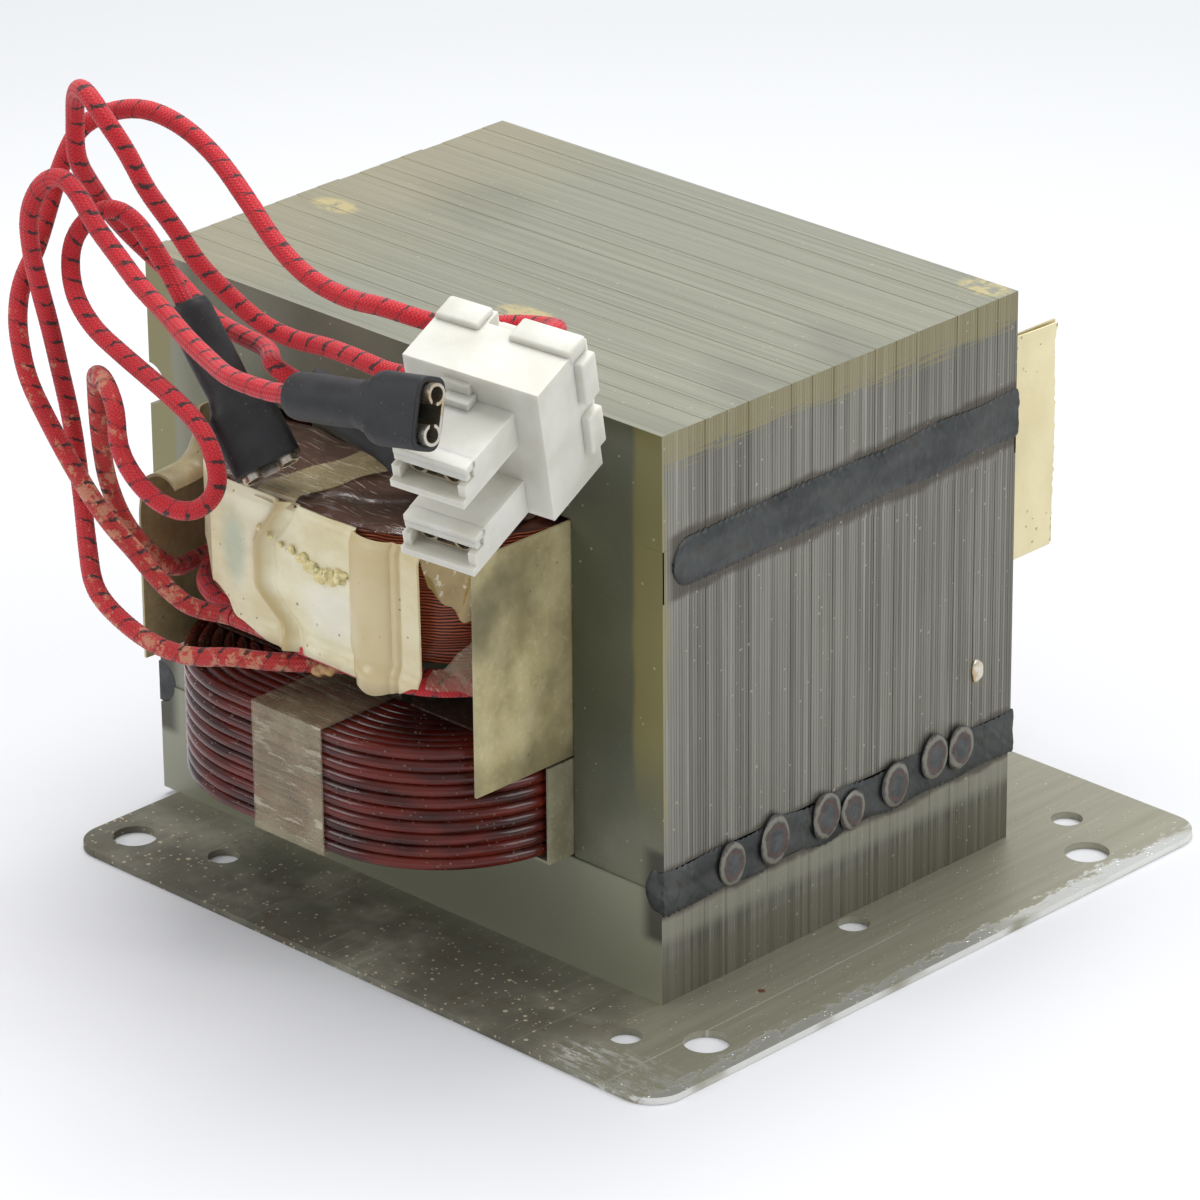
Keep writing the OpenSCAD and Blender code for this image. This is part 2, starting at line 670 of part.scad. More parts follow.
// Section of a tab receptacle: a flat floor with both edges rolled in, width along X
module rolled_section() {
  r = roll_d / 2;
  x = tab_w / 2 - r;
  translate([-x, 0]) square([2 * x, strip_t]);
  for (s = [-1, 1]) mirror([s < 0 ? 1 : 0, 0])
    translate([x, r]) difference() {
      circle(r, $fn = 40);
      circle(r - strip_t, $fn = 40);
      translate([-2 * r, -0.15]) square([2 * r, 0.75]);
    }
}

// Receptacle along X with its mouth at the origin, opening towards +X
module receptacle() {
  rotate([90, 0, 90]) translate([0, -roll_d / 2, -tab_l]) linear_extrude(tab_l) rolled_section();
  translate([-tab_l - neck_l, -1.3, -roll_d / 2]) cube([neck_l + 0.5, 2.6, strip_t]);
  translate([-tab_l - neck_l - barrel_l, 0, barrel_r - roll_d / 2]) rotate([0, 90, 0])
    difference() {
      cylinder(h = barrel_l + 0.2, r = barrel_r, $fn = 40);
      translate([0, 0, -1]) cylinder(h = barrel_l + 3, r = barrel_r - strip_t, $fn = 40);
    }
}

module in_sleeve_frame(at, turn) {
  translate(at) rotate(turn) children();
}

module sleeve_receptacle(at, turn) {
  color("#c9c6ba") in_sleeve_frame(at, turn) translate([sleeve_l + 0.8, 0, 0])
    rotate([90, 0, 0]) receptacle();
}

module receptacle_front() { sleeve_receptacle(sleeve_front_at, sleeve_front_turn); }

module receptacle_left() { sleeve_receptacle(sleeve_left_at, sleeve_left_turn); }

module receptacle_back() { sleeve_receptacle(sleeve_back_at, sleeve_back_turn); }

// Place along the sleeve, half height, half width, squareness and wall
sleeve_stations = [[0, 3, 3, 2, 1.5], [0.08, 3.2, 3.2, 2, 1.6], [0.12, 3.3, 3.3, 2, sleeve_wall],
  [0.38, 3.3, 3.3, 2.1, sleeve_wall], [0.5, 3, 3, 2.2, sleeve_wall], [0.6, 2.95, 3.6, 2.4, sleeve_wall],
  [0.67, 2.8, 4.9, 3, sleeve_wall], [0.76, 2.7, 5, 3.2, sleeve_wall], [1, 2.6, 5, 3.2, sleeve_wall]];

// Moulded sleeve along X: round at the wire, waisted, and flat at the mouth
module sleeve_body() {
  count = 20;
  outer = [for (s = sleeve_stations) [for (p = oval(s[1], s[2], s[3], count)) [s[0] * sleeve_l, p.x, p.y]]];
  inner = [for (i = [len(sleeve_stations) - 1 : -1 : 0]) let(s = sleeve_stations[i])
    [for (p = oval(s[1] - s[4], s[2] - s[4], s[3], count)) [s[0] * sleeve_l, p.x, p.y]]];
  rings = concat(outer, inner);
  n = len(rings);
  points = [for (r = rings, p = r) p];
  faces = [for (i = [0 : n - 1], k = [0 : count - 1])
    let(a = i * count + k, b = i * count + (k + 1) % count,
      c = ((i + 1) % n) * count + (k + 1) % count, d = ((i + 1) % n) * count + k)
    [a, b, c, d]];
  polyhedron(points, faces, convexity = 6);
}

module sleeve(at, turn) {
  color("#2b2b2d") in_sleeve_frame(at, turn) sleeve_body();
}

module sleeve_front() { sleeve(sleeve_front_at, sleeve_front_turn); }

module sleeve_left() { sleeve(sleeve_left_at, sleeve_left_turn); }

module sleeve_back() { sleeve(sleeve_back_at, sleeve_back_turn); }

// ---------------------------------------------------------------- connector

module prong(z) {
  top_wall = 1.1;
  side_wall = 1.15;
  front = -conn_d / 2;
  translate([way_x, 0, z]) {
    translate([-prong_w / 2, front - prong_l, -prong_t / 2]) cube([prong_w, prong_l + 1, prong_t]);
    translate([-prong_w / 2, front - prong_l - prong_lip, -prong_t / 2])
      cube([prong_w, prong_lip + 0.5, top_wall]);
    for (s = [-1, 1])
      translate([s * (prong_w - side_wall) / 2 - side_wall / 2, front - prong_l - prong_lip + 0.8, -prong_t / 2])
        cube([side_wall, prong_lip + 0.5, prong_t * 0.55]);
  }
}

module way_cavity(z) {
  slot_h = roll_d + 0.5;
  slot_l = tab_l + neck_l - 0.4;
  rear = conn_d / 2 + boss_l;
  translate([way_x, 0, z]) {
    translate([-(tab_w + 0.6) / 2, -conn_d / 2 - prong_l - 1, -slot_h / 2])
      cube([tab_w + 0.6, slot_l + 1, slot_h]);
    translate([0, rear - entry_l + 0.5, barrel_r - roll_d / 2]) rotate([90, 0, 0])
      cylinder(h = rear - entry_l + 0.5 + conn_d / 2 + prong_l - slot_l + 0.5, r = barrel_r + 0.4, $fn = 40);
    translate([0, rear + 1, 0]) rotate([90, 0, 0]) cylinder(h = entry_l + 1, d = lead_d + 0.6, $fn = 40);
  }
}

module connector_housing() {
  color("#eeeae4") translate(conn_at) rotate(conn_turn) difference() {
    union() {
      translate([-conn_w / 2, -conn_d / 2, 9.85 - conn_h]) cube([conn_w, conn_d, conn_h]);
      for (z = way_z) {
        prong(z);
        translate([way_x - 4.5, conn_d / 2 - 0.5, z - 3.2]) cube([9, boss_l + 0.5, 6.4]);
      }
      translate([-4, -conn_d / 2 - 0.7, 6.8]) cube([4, 1.2, 1.6]);
      for (s = [-1, 1]) translate([s * 7.4 - 1.6, conn_d / 2 - 0.5, 9.85 - conn_h + 3])
        cube([3.2, 1.6, 5]);
    }
    for (z = way_z) way_cavity(z);
    translate([-3, conn_d / 2 - 2.4, 9.85 - 1.6]) cube([3.6, 5, 3]);
  }
}

module connector_receptacle(z) {
  color("#c9c6ba") translate(conn_at) rotate(conn_turn) translate([way_x, -conn_d / 2 - prong_l - 0.6, z])
    rotate([0, 0, -90]) receptacle();
}

module connector_receptacle_upper() { connector_receptacle(way_z[0]); }

module connector_receptacle_lower() { connector_receptacle(way_z[1]); }

// ---------------------------------------------------------------- leads

filament_start = filament_path[0];
filament_end = filament_path[len(filament_path) - 1];
lead_gap = 0.2;

function lifted(route) = [for (p = route) p + [0, 0, plate_t]];
// Point on the axis of a connector's way, a distance out of its wire entry
function way_exit(z, out) = placed(conn_at, conn_turn, [way_x, conn_d / 2 + boss_l + out, z]);
// Point on the axis of a sleeve, a distance out of its wire end
function sleeve_entry(at, turn, out) = placed(at, turn, [-out, 0, 0]);

module lead(route) {
  color("#c33a35") tube(smooth(route), lead_d);
}

module lead_connector_upper() {
  lead(concat([filament_start - [lead_gap, 0, 0]], lifted(upper_route),
    [way_exit(way_z[0], 4), way_exit(way_z[0], -lead_in)]));
}

module lead_sleeve_front() {
  lead(concat([[16, -46.5, secondary_z - lead_gap - lead_d / 2]], lifted(front_route),
    [sleeve_entry(sleeve_front_at, sleeve_front_turn, 5), sleeve_entry(sleeve_front_at, sleeve_front_turn, 1.5),
      sleeve_entry(sleeve_front_at, sleeve_front_turn, -lead_in)]));
}

module lead_sleeve_left() {
  lead(concat([filament_end - [0, lead_gap, 0]], lifted(left_route),
    [sleeve_entry(sleeve_left_at, sleeve_left_turn, 5), sleeve_entry(sleeve_left_at, sleeve_left_turn, 1.5),
      sleeve_entry(sleeve_left_at, sleeve_left_turn, -lead_in)]));
}

module lead_jumper() {
  lead(concat([way_exit(way_z[1], -lead_in), way_exit(way_z[1], 1)], lifted(jumper_route),
    [sleeve_entry(sleeve_back_at, sleeve_back_turn, 5), sleeve_entry(sleeve_back_at, sleeve_back_turn, 1.5),
      sleeve_entry(sleeve_back_at, sleeve_back_turn, -lead_in)]));
}

base_plate();
e_laminations();
i_laminations();
upper_weld_left();
upper_weld_right();
seam_weld_left();
seam_weld_right();
primary_winding();
primary_tape_front();
primary_tape_rear();
primary_liner_left();
primary_liner_right();
primary_terminal_board();
primary_tab_left();
primary_tab_right();
shunt_left();
shunt_right();
shunt_card_left();
shunt_card_right();
filament_winding();
secondary_winding();
secondary_wrap_front();
secondary_wrap_rear();
secondary_film_front();
secondary_film_rear();
slot_paper_left();
slot_paper_right();
connector_housing();
connector_receptacle_upper();
connector_receptacle_lower();
receptacle_front();
receptacle_left();
receptacle_back();
sleeve_front();
sleeve_left();
sleeve_back();
lead_connector_upper();
lead_sleeve_front();
lead_sleeve_left();
lead_jumper();
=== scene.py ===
"""Laminated chassis transformer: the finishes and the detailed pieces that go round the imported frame."""

import logging
import math
import random
from collections.abc import Callable, Iterable, Sequence
from dataclasses import dataclass, field
from enum import Enum

import bpy
from mathutils import Euler, Matrix, Vector

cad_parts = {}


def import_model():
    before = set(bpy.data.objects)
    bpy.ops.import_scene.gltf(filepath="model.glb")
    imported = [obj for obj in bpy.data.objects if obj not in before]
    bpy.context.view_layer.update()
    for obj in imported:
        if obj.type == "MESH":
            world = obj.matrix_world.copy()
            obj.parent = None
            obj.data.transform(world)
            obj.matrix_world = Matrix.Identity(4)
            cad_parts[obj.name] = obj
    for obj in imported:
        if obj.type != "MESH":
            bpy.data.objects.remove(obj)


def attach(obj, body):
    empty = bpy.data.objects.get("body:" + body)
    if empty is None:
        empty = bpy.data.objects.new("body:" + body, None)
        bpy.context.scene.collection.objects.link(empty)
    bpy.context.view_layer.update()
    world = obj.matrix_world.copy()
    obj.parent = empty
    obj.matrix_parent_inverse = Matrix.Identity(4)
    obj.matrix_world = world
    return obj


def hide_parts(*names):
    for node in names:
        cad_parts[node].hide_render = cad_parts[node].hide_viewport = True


LOG = logging.getLogger("transformer")
MM = 0.001
Point = tuple[float, float, float]
Value = float | bpy.types.NodeSocket


class Slot(Enum):
    """Material slots of the record, by their names."""

    CORE = "core_steel"
    WELD = "weld"
    PAPER = "cream_paper"
    FILM = "clear_film"
    TAPE = "clear_tape"
    BRAID = "red_braid"
    NYLON = "nylon"
    SLEEVE = "black_sleeve"
    TIN = "tinned_brass"


def srgb(red: float, green: float, blue: float) -> tuple[float, float, float, float]:
    """Turn a screen colour from 0 to 255 into the linear colour of a shader socket.

    Args:
        red: Red from 0 to 255.
        green: Green from 0 to 255.
        blue: Blue from 0 to 255.

    Returns:
        Linear red, green and blue, and an alpha of 1.
    """

    def linear(channel: float) -> float:
        """Linear value of one screen channel."""
        c = channel / 255
        return c / 12.92 if c <= 0.04045 else ((c + 0.055) / 1.055) ** 2.4

    return (linear(red), linear(green), linear(blue), 1.0)


# ---------------------------------------------------------------- shader graph


class Graph:
    """Node tree of one finish, with coordinates in millimetres."""

    def __init__(self, name: str) -> None:
        """Start an empty tree.

        Args:
            name: Name of the material.
        """
        self.material = bpy.data.materials.new(name)
        self.material.use_nodes = True
        self.tree = self.material.node_tree
        self.tree.nodes.clear()
        self._cache: dict[str, bpy.types.NodeSocket] = {}

    def node(self, kind: str, inputs: dict | None = None, **settings: object) -> bpy.types.Node:
        """Add a node, set it and link what it reads.

        Args:
            kind: Node type without the ShaderNode prefix.
            inputs: Socket name or number to a value or a socket.
            **settings: Properties of the node.

        Returns:
            The new node.
        """
        node = self.tree.nodes.new("ShaderNode" + kind)
        for key, value in settings.items():
            setattr(node, key, value)
        for key, value in (inputs or {}).items():
            if isinstance(value, bpy.types.NodeSocket):
                self.tree.links.new(value, node.inputs[key])
            else:
                node.inputs[key].default_value = value
        return node

    def position(self) -> bpy.types.NodeSocket:
        """Place on the piece in millimetres."""
        if "mm" not in self._cache:
            source = self.node("TexCoord").outputs["Object"]
            self._cache["mm"] = self.node("VectorMath", {0: source, "Scale": 1 / MM},
                                          operation="SCALE").outputs[0]
        return self._cache["mm"]

    def axis(self, letter: str) -> bpy.types.NodeSocket:
        """One coordinate of the place, by its letter."""
        if letter not in self._cache:
            parts = self.node("SeparateXYZ", {0: self.position()}).outputs
            self._cache.update({name: parts[name] for name in "XYZ"})
        return self._cache[letter]

    def facing(self, letter: str) -> bpy.types.NodeSocket:
        """One coordinate of the surface's direction, by its letter."""
        key = "n" + letter
        if key not in self._cache:
            parts = self.node("SeparateXYZ", {0: self.node("NewGeometry").outputs["True Normal"]}).outputs
            self._cache.update({"n" + name: parts[name] for name in "XYZ"})
        return self._cache[key]

    def uv(self, letter: str) -> bpy.types.NodeSocket:
        """One coordinate of the piece's own map."""
        key = "uv" + letter
        if key not in self._cache:
            parts = self.node("SeparateXYZ", {0: self.node("TexCoord").outputs["UV"]}).outputs
            self._cache.update({"uv" + name: parts[name] for name in "XYZ"})
        return self._cache[key]

    def attribute(self, name: str) -> bpy.types.NodeSocket:
        """Number that the piece's mesh stores under a name."""
        return self.node("Attribute", attribute_name=name).outputs["Fac"]

    def math(self, operation: str, a: Value, b: Value = 0.0) -> bpy.types.NodeSocket:
        """Result of one sum on numbers or sockets."""
        return self.node("Math", {0: a, 1: b}, operation=operation).outputs[0]

    def times(self, *factors: Value) -> bpy.types.NodeSocket:
        """Product of numbers and sockets."""
        result = factors[0]
        for factor in factors[1:]:
            result = self.math("MULTIPLY", result, factor)
        return result

    def plus(self, *terms: Value) -> bpy.types.NodeSocket:
        """Sum of numbers and sockets."""
        result = terms[0]
        for term in terms[1:]:
            result = self.math("ADD", result, term)
        return result

    def most(self, *terms: Value) -> bpy.types.NodeSocket:
        """Largest of numbers and sockets."""
        result = terms[0]
        for term in terms[1:]:
            result = self.math("MAXIMUM", result, term)
        return result

    def step(self, value: Value, low: float, high: float) -> bpy.types.NodeSocket:
        """Smooth step from 0 at low to 1 at high; low may be above high."""
        if low > high:
            return self.math("SUBTRACT", 1.0, self.step(value, high, low))
        node = self.node("MapRange", {"Value": value, "From Min": low, "From Max": high},
                         interpolation_type="SMOOTHSTEP")
        return node.outputs[0]

    def near(self, value: Value, centre: float, half: float, soft: float) -> bpy.types.NodeSocket:
        """Mask that is 1 within half of the centre and fades over soft."""
        gap = self.math("ABSOLUTE", self.math("SUBTRACT", value, centre))
        return self.step(gap, half + soft, half)

    def spot(self, centre: Point, radius: float, soft: float,
             stretch: Point = (1, 1, 1)) -> bpy.types.NodeSocket:
        """Round mask about a place, with each axis divided by its stretch."""
        apart = self.node("VectorMath", {0: self.position(), 1: centre}, operation="SUBTRACT").outputs[0]
        scaled = self.node("VectorMath", {0: apart, 1: tuple(1 / s for s in stretch)},
                           operation="MULTIPLY").outputs[0]
        length = self.node("VectorMath", {0: scaled}, operation="LENGTH").outputs["Value"]
        return self.step(length, radius + soft, radius)

    def noise(self, size: float, detail: float = 3.0, rough: float = 0.55, stretch: Point = (1, 1, 1),
              seed: float = 0.0, warp: float = 0.0) -> bpy.types.NodeSocket:
        """Cloudy noise with features of about size millimetres.

        Args:
            size: Size of the largest features.
            detail: Number of finer layers.
            rough: Strength of the finer layers.
            stretch: How much longer the features are along each axis.
            seed: Shift that gives another pattern.
            warp: Distortion.

        Returns:
            Noise from 0 to 1.
        """
        moved = self.node("VectorMath", {0: self.position(), 1: tuple(1 / (size * s) for s in stretch),
                                         2: (seed, seed * 1.7, seed * 2.3)},
                          operation="MULTIPLY_ADD").outputs[0]
        return self.node("TexNoise", {"Vector": moved, "Scale": 1.0, "Detail": detail, "Roughness": rough,
                                      "Distortion": warp}).outputs["Fac"]

    def grains(self, size: float, share: float, seed: float = 0.0,
               stretch: Point = (1, 1, 1)) -> bpy.types.NodeSocket:
        """Scattered specks of dust of about size millimetres that cover a share of the cells."""
        moved = self.node("VectorMath", {0: self.position(), 1: tuple(1 / (size * s) for s in stretch),
                                         2: (seed, seed, seed)},
                          operation="MULTIPLY_ADD").outputs[0]
        cells = self.node("TexVoronoi", {"Vector": moved, "Scale": 1.0})
        chance = self.node("SeparateXYZ", {0: cells.outputs["Color"]}).outputs
        dot = self.math("SUBTRACT", self.times(chance["Y"], 0.45), cells.outputs["Distance"])
        return self.times(self.step(dot, 0.0, 0.1), self.step(chance["X"], 1 - share, 1 - share * 0.9))

    def hashed(self, value: Value) -> bpy.types.NodeSocket:
        """Random number from 0 to 1 for each whole value."""
        return self.node("TexWhiteNoise", {"W": value}, noise_dimensions="1D").outputs["Value"]

    def blend(self, amount: Value, first: object, second: object) -> bpy.types.NodeSocket:
        """Colour between two colours."""
        node = self.node("Mix", {0: amount, 6: first, 7: second}, data_type="RGBA", clamp_factor=True)
        return node.outputs[2]

    def between(self, amount: Value, low: Value, high: Value) -> bpy.types.NodeSocket:
        """Number from low to high by an amount from 0 to 1."""
        return self.node("Mix", {0: amount, 2: low, 3: high}, data_type="FLOAT").outputs[0]

    def bump(self, height: bpy.types.NodeSocket, depth: float, strength: float = 1.0) -> bpy.types.NodeSocket:
        """Surface direction of a height from 0 to 1 that stands for depth millimetres."""
        return self.node("Bump", {"Height": height, "Distance": depth * MM, "Strength": strength}).outputs[0]

    def finish(self, **sockets: object) -> bpy.types.Material:
        """Close the tree with one shader.

        Args:
            **sockets: Shader sockets by their names with underscores for spaces.

        Returns:
            The finished material.
        """
        named = {key.replace("_", " "): value for key, value in sockets.items()}
        shader = self.node("BsdfPrincipled", named)
        self.tree.links.new(shader.outputs[0], self.node("OutputMaterial").inputs["Surface"])
        return self.material


# ---------------------------------------------------------------- finishes


@dataclass(frozen=True)
class Finish:
    """A finish by its name; each kind builds its own material."""

    name: str

    def build(self) -> bpy.types.Material:
        """Build the material."""
        raise NotImplementedError


@dataclass(frozen=True)
class Laminations(Finish):
    """Varnished sheet stack: striped edges, scorched welds and olive varnish."""

    sheet: float = 0.5
    floor_z: float = 17.0
    weld_z: float = 60.5

    def sides(self, g: Graph, number: Value, gap: Value, tone: Value,
              ragged: Value) -> tuple[Value, Value, Value]:
        """Sheet edges with glints, rust, scorched bands beside the welds and runs of varnish.

        Args:
            g: Tree of the finish.
            number: Whole number of the sheet at a place.
            gap: 1 between two sheets and 0 on a sheet.
            tone: Random number of the sheet.
            ragged: Wander of the scorched bands in millimetres.

        Returns:
            Colour of the sides, share of scorch and share of varnish.
        """
        y, z = g.axis("Y"), g.axis("Z")
        streak = g.noise(3.2, 4, 0.65, (1, 0.09, 9), 3.1)
        broad = g.noise(22, 2, 0.5, (1, 0.5, 1.6), 7.7)
        upper_stack = self.upper_stack(g)
        edge = g.plus(g.times(tone, 0.3), g.times(streak, g.plus(0.35, g.times(upper_stack, 0.25))),
                      g.times(gap, -0.34), g.times(broad, 0.3))
        colour = g.blend(g.step(edge, 0.0, 1.0), srgb(70, 67, 58), srgb(150, 148, 137))
        low_bar = g.step(g.plus(z, g.times(broad, 2.0), g.times(y, -0.02)), 9.0, 7.6)
        colour = g.blend(g.times(g.step(z, 17.0, 16.6), g.step(z, 8.5, 11.0), 0.6), colour,
                         srgb(158, 156, 140))
        colour = g.blend(g.times(low_bar, 0.45), colour, srgb(108, 105, 84))
        glint = g.times(g.step(g.hashed(g.plus(number, 71.0)), 0.82, 0.95),
                        g.step(g.noise(5, 3, 0.6, (1, 0.1, 8), 9.4), 0.45, 0.62))
        colour = g.blend(g.times(glint, upper_stack, 0.38), colour, srgb(190, 189, 180))
        rust = g.step(g.noise(3.5, 4, 0.7, (1, 0.8, 2.2), 21.0), 0.63, 0.76)
        colour = g.blend(g.times(rust, g.step(z, 16, 10), 0.55), colour, srgb(70, 52, 34))
        rise = g.plus(z, ragged, g.times(y, -0.02))
        upper = g.times(g.near(rise, self.weld_z + 2.4, 3.9, 1.2), g.step(y, -33.8, -31.5))
        seam = g.near(g.plus(z, ragged), self.floor_z - 0.2, 3.2, 1.0)
        burn = g.most(upper, seam)
        colour = g.blend(g.times(burn, 0.8), colour, srgb(62, 52, 40))
        blue = g.times(g.near(g.plus(z, ragged), self.floor_z - 0.2, 2.2, 1.2), 0.8)
        colour = g.blend(g.times(blue, burn), colour, srgb(54, 60, 62))
        lobes = g.plus(z, g.times(g.noise(5, 2, 0.4, (1, 1.4, 0.05), 2.2), 7.0), g.times(y, 0.01))
        wander = g.times(g.noise(9, 2, 0.5, (1, 1, 1.5), 8.1), 3.0)
        front_run = g.times(g.step(g.plus(g.times(y, -1.0), wander), 34.4, 35.2), g.step(z, 22, 30))
        varnish = g.most(g.step(lobes, 79.6, 80.6), front_run)
        colour = g.blend(g.times(varnish, 0.6), colour, srgb(146, 137, 92))
        return colour, burn, varnish

    def upper_stack(self, g: Graph) -> Value:
        """1 on the upper stack and 0 on the lower one."""
        return g.step(g.axis("Z"), self.floor_z - 0.2, self.floor_z + 0.2)

    def top(self, g: Graph, number: Value) -> tuple[Value, Value]:
        """Top with lines along the sheets, an olive sheen and brown dust to the left.

        Args:
            g: Tree of the finish.
            number: Whole number of the sheet at a place.

        Returns:
            Colour of the top and its brushed lines.
        """
        x = g.axis("X")
        brushed = g.noise(2.6, 5, 0.72, (26, 0.16, 1), 12.0)
        lines = g.step(g.noise(1.1, 3, 0.7, (60, 0.35, 1), 17.0), 0.5, 0.72)
        cloud = g.noise(26, 3, 0.55, (1.8, 0.9, 1), 5.0)
        colour = g.blend(g.step(brushed, 0.2, 0.8), srgb(136, 135, 118), srgb(160, 160, 143))
        colour = g.blend(g.times(g.step(g.hashed(number), 0.55, 1.0), 0.2), colour, srgb(104, 105, 88))
        colour = g.blend(g.times(lines, g.step(cloud, 0.35, 0.6), 0.2), colour, srgb(178, 174, 148))
        colour = g.blend(g.times(g.step(cloud, 0.52, 0.72), 0.35), colour, srgb(108, 110, 100))
        left = g.step(g.plus(x, g.times(g.noise(14, 3, 0.6, (1, 1, 1), 1.3), 30.0)), 0.0, -34.0)
        colour = g.blend(g.times(left, 0.4), colour, srgb(170, 156, 122))
        for centre, size, stretch in (((-41, -5.3, 81), 1.6, (1.6, 0.9, 1)),
                                      ((6.7, -16.3, 81), 2.4, (1.5, 0.8, 1)),
                                      ((43.9, 32, 81), 1.8, (1.5, 1, 1))):
            patch = g.spot(centre, size, 1.4, stretch)
            colour = g.blend(g.times(patch, g.step(g.noise(1.6, 3, 0.6), 0.36, 0.56), 0.75), colour,
                             srgb(202, 186, 132))
        return colour, brushed

    def faces(self, g: Graph, ragged: Value) -> tuple[Value, Value]:
        """Front and rear: smooth dark sheet with a yellow varnished edge and painted shade beside the coil.

        Args:
            g: Tree of the finish.
            ragged: Wander of the scorched corners in millimetres.

        Returns:
            Colour of the faces and their fine grain.
        """
        x, z = g.axis("X"), g.axis("Z")
        soft = g.noise(18, 3, 0.5, (1.2, 1, 1.4), 6.0)
        fine = g.noise(0.5, 3, 0.7, (1, 1, 1), 31.0)
        colour = g.blend(g.step(soft, 0.3, 0.7), srgb(96, 97, 78), srgb(122, 123, 102))
        colour = g.blend(g.times(g.step(fine, 0.5, 0.75), 0.25), colour, srgb(140, 138, 112))
        # Painted shade: the faces are darker beside the coil, where its shade falls.
        colour = g.blend(g.times(g.step(x, 24, 34), g.step(z, 18, 40), 0.5), colour, srgb(70, 74, 58))
        colour = g.blend(g.times(g.step(z, 17.2, 16.6), 0.8), colour, srgb(148, 148, 126))
        colour = g.blend(g.times(g.step(x, -38, -44), 0.6), colour, srgb(158, 158, 142))
        wander = g.times(g.noise(12, 2, 0.5, (1, 1, 2), 2.9), 3.0)
        drip = g.times(g.near(g.plus(g.math("ABSOLUTE", x), wander), 48.0, 2.6, 1.2), g.step(z, 24, 40))
        colour = g.blend(g.times(drip, 0.62), colour, srgb(140, 132, 74))
        scorch = g.times(g.step(g.math("ABSOLUTE", x), 43.6, 46.2), g.near(g.plus(z, ragged), 16.2, 5.4, 1.6))
        colour = g.blend(g.times(scorch, 0.85), colour, srgb(60, 57, 48))
        return colour, fine

    def build(self) -> bpy.types.Material:
        """Build the material."""
        g = Graph(self.name)
        y = g.axis("Y")
        side = g.step(g.math("ABSOLUTE", g.facing("X")), 0.4, 0.6)
        top = g.step(g.facing("Z"), 0.5, 0.7)
        face = g.step(g.math("ABSOLUTE", g.facing("Y")), 0.4, 0.6)
        number = g.math("FLOOR", g.math("DIVIDE", g.plus(y, 500.0), self.sheet))
        within = g.math("FRACT", g.math("DIVIDE", g.plus(y, 500.0), self.sheet))
        gap = g.step(g.math("ABSOLUTE", g.math("SUBTRACT", within, 0.5)), 0.3, 0.48)
        tone = g.hashed(number)
        gap = g.times(gap, g.plus(0.35, g.times(self.upper_stack(g), 0.65)))
        ragged = g.times(g.math("SUBTRACT", g.noise(7, 3, 0.6, (1, 1, 0.6), 4.4), 0.5), 2.4)
        side_col, burn, varnish = self.sides(g, number, gap, tone, ragged)
        top_col, brushed = self.top(g, number)
        face_col, fine = self.faces(g, ragged)
        colour = g.blend(side, g.blend(top, face_col, top_col), side_col)
        dust = g.grains(0.5, 0.03, 3.0)
        colour = g.blend(g.times(dust, 0.4), colour, srgb(204, 198, 180))
        height = g.plus(g.times(gap, side, -0.8), g.times(tone, side, 0.3), g.times(brushed, top, 0.25),
                        g.times(gap, top, -0.4), g.times(fine, 0.12))
        metal = g.plus(0.55, g.times(face, -0.25), g.times(burn, side, -0.35))
        rough = g.plus(0.42, g.times(side, 0.04), g.times(face, -0.02), g.times(varnish, side, -0.15))
        return g.finish(Base_Color=colour, Metallic=metal, Roughness=rough, Normal=g.bump(height, 0.06, 0.7),
                        Specular_IOR_Level=0.5)


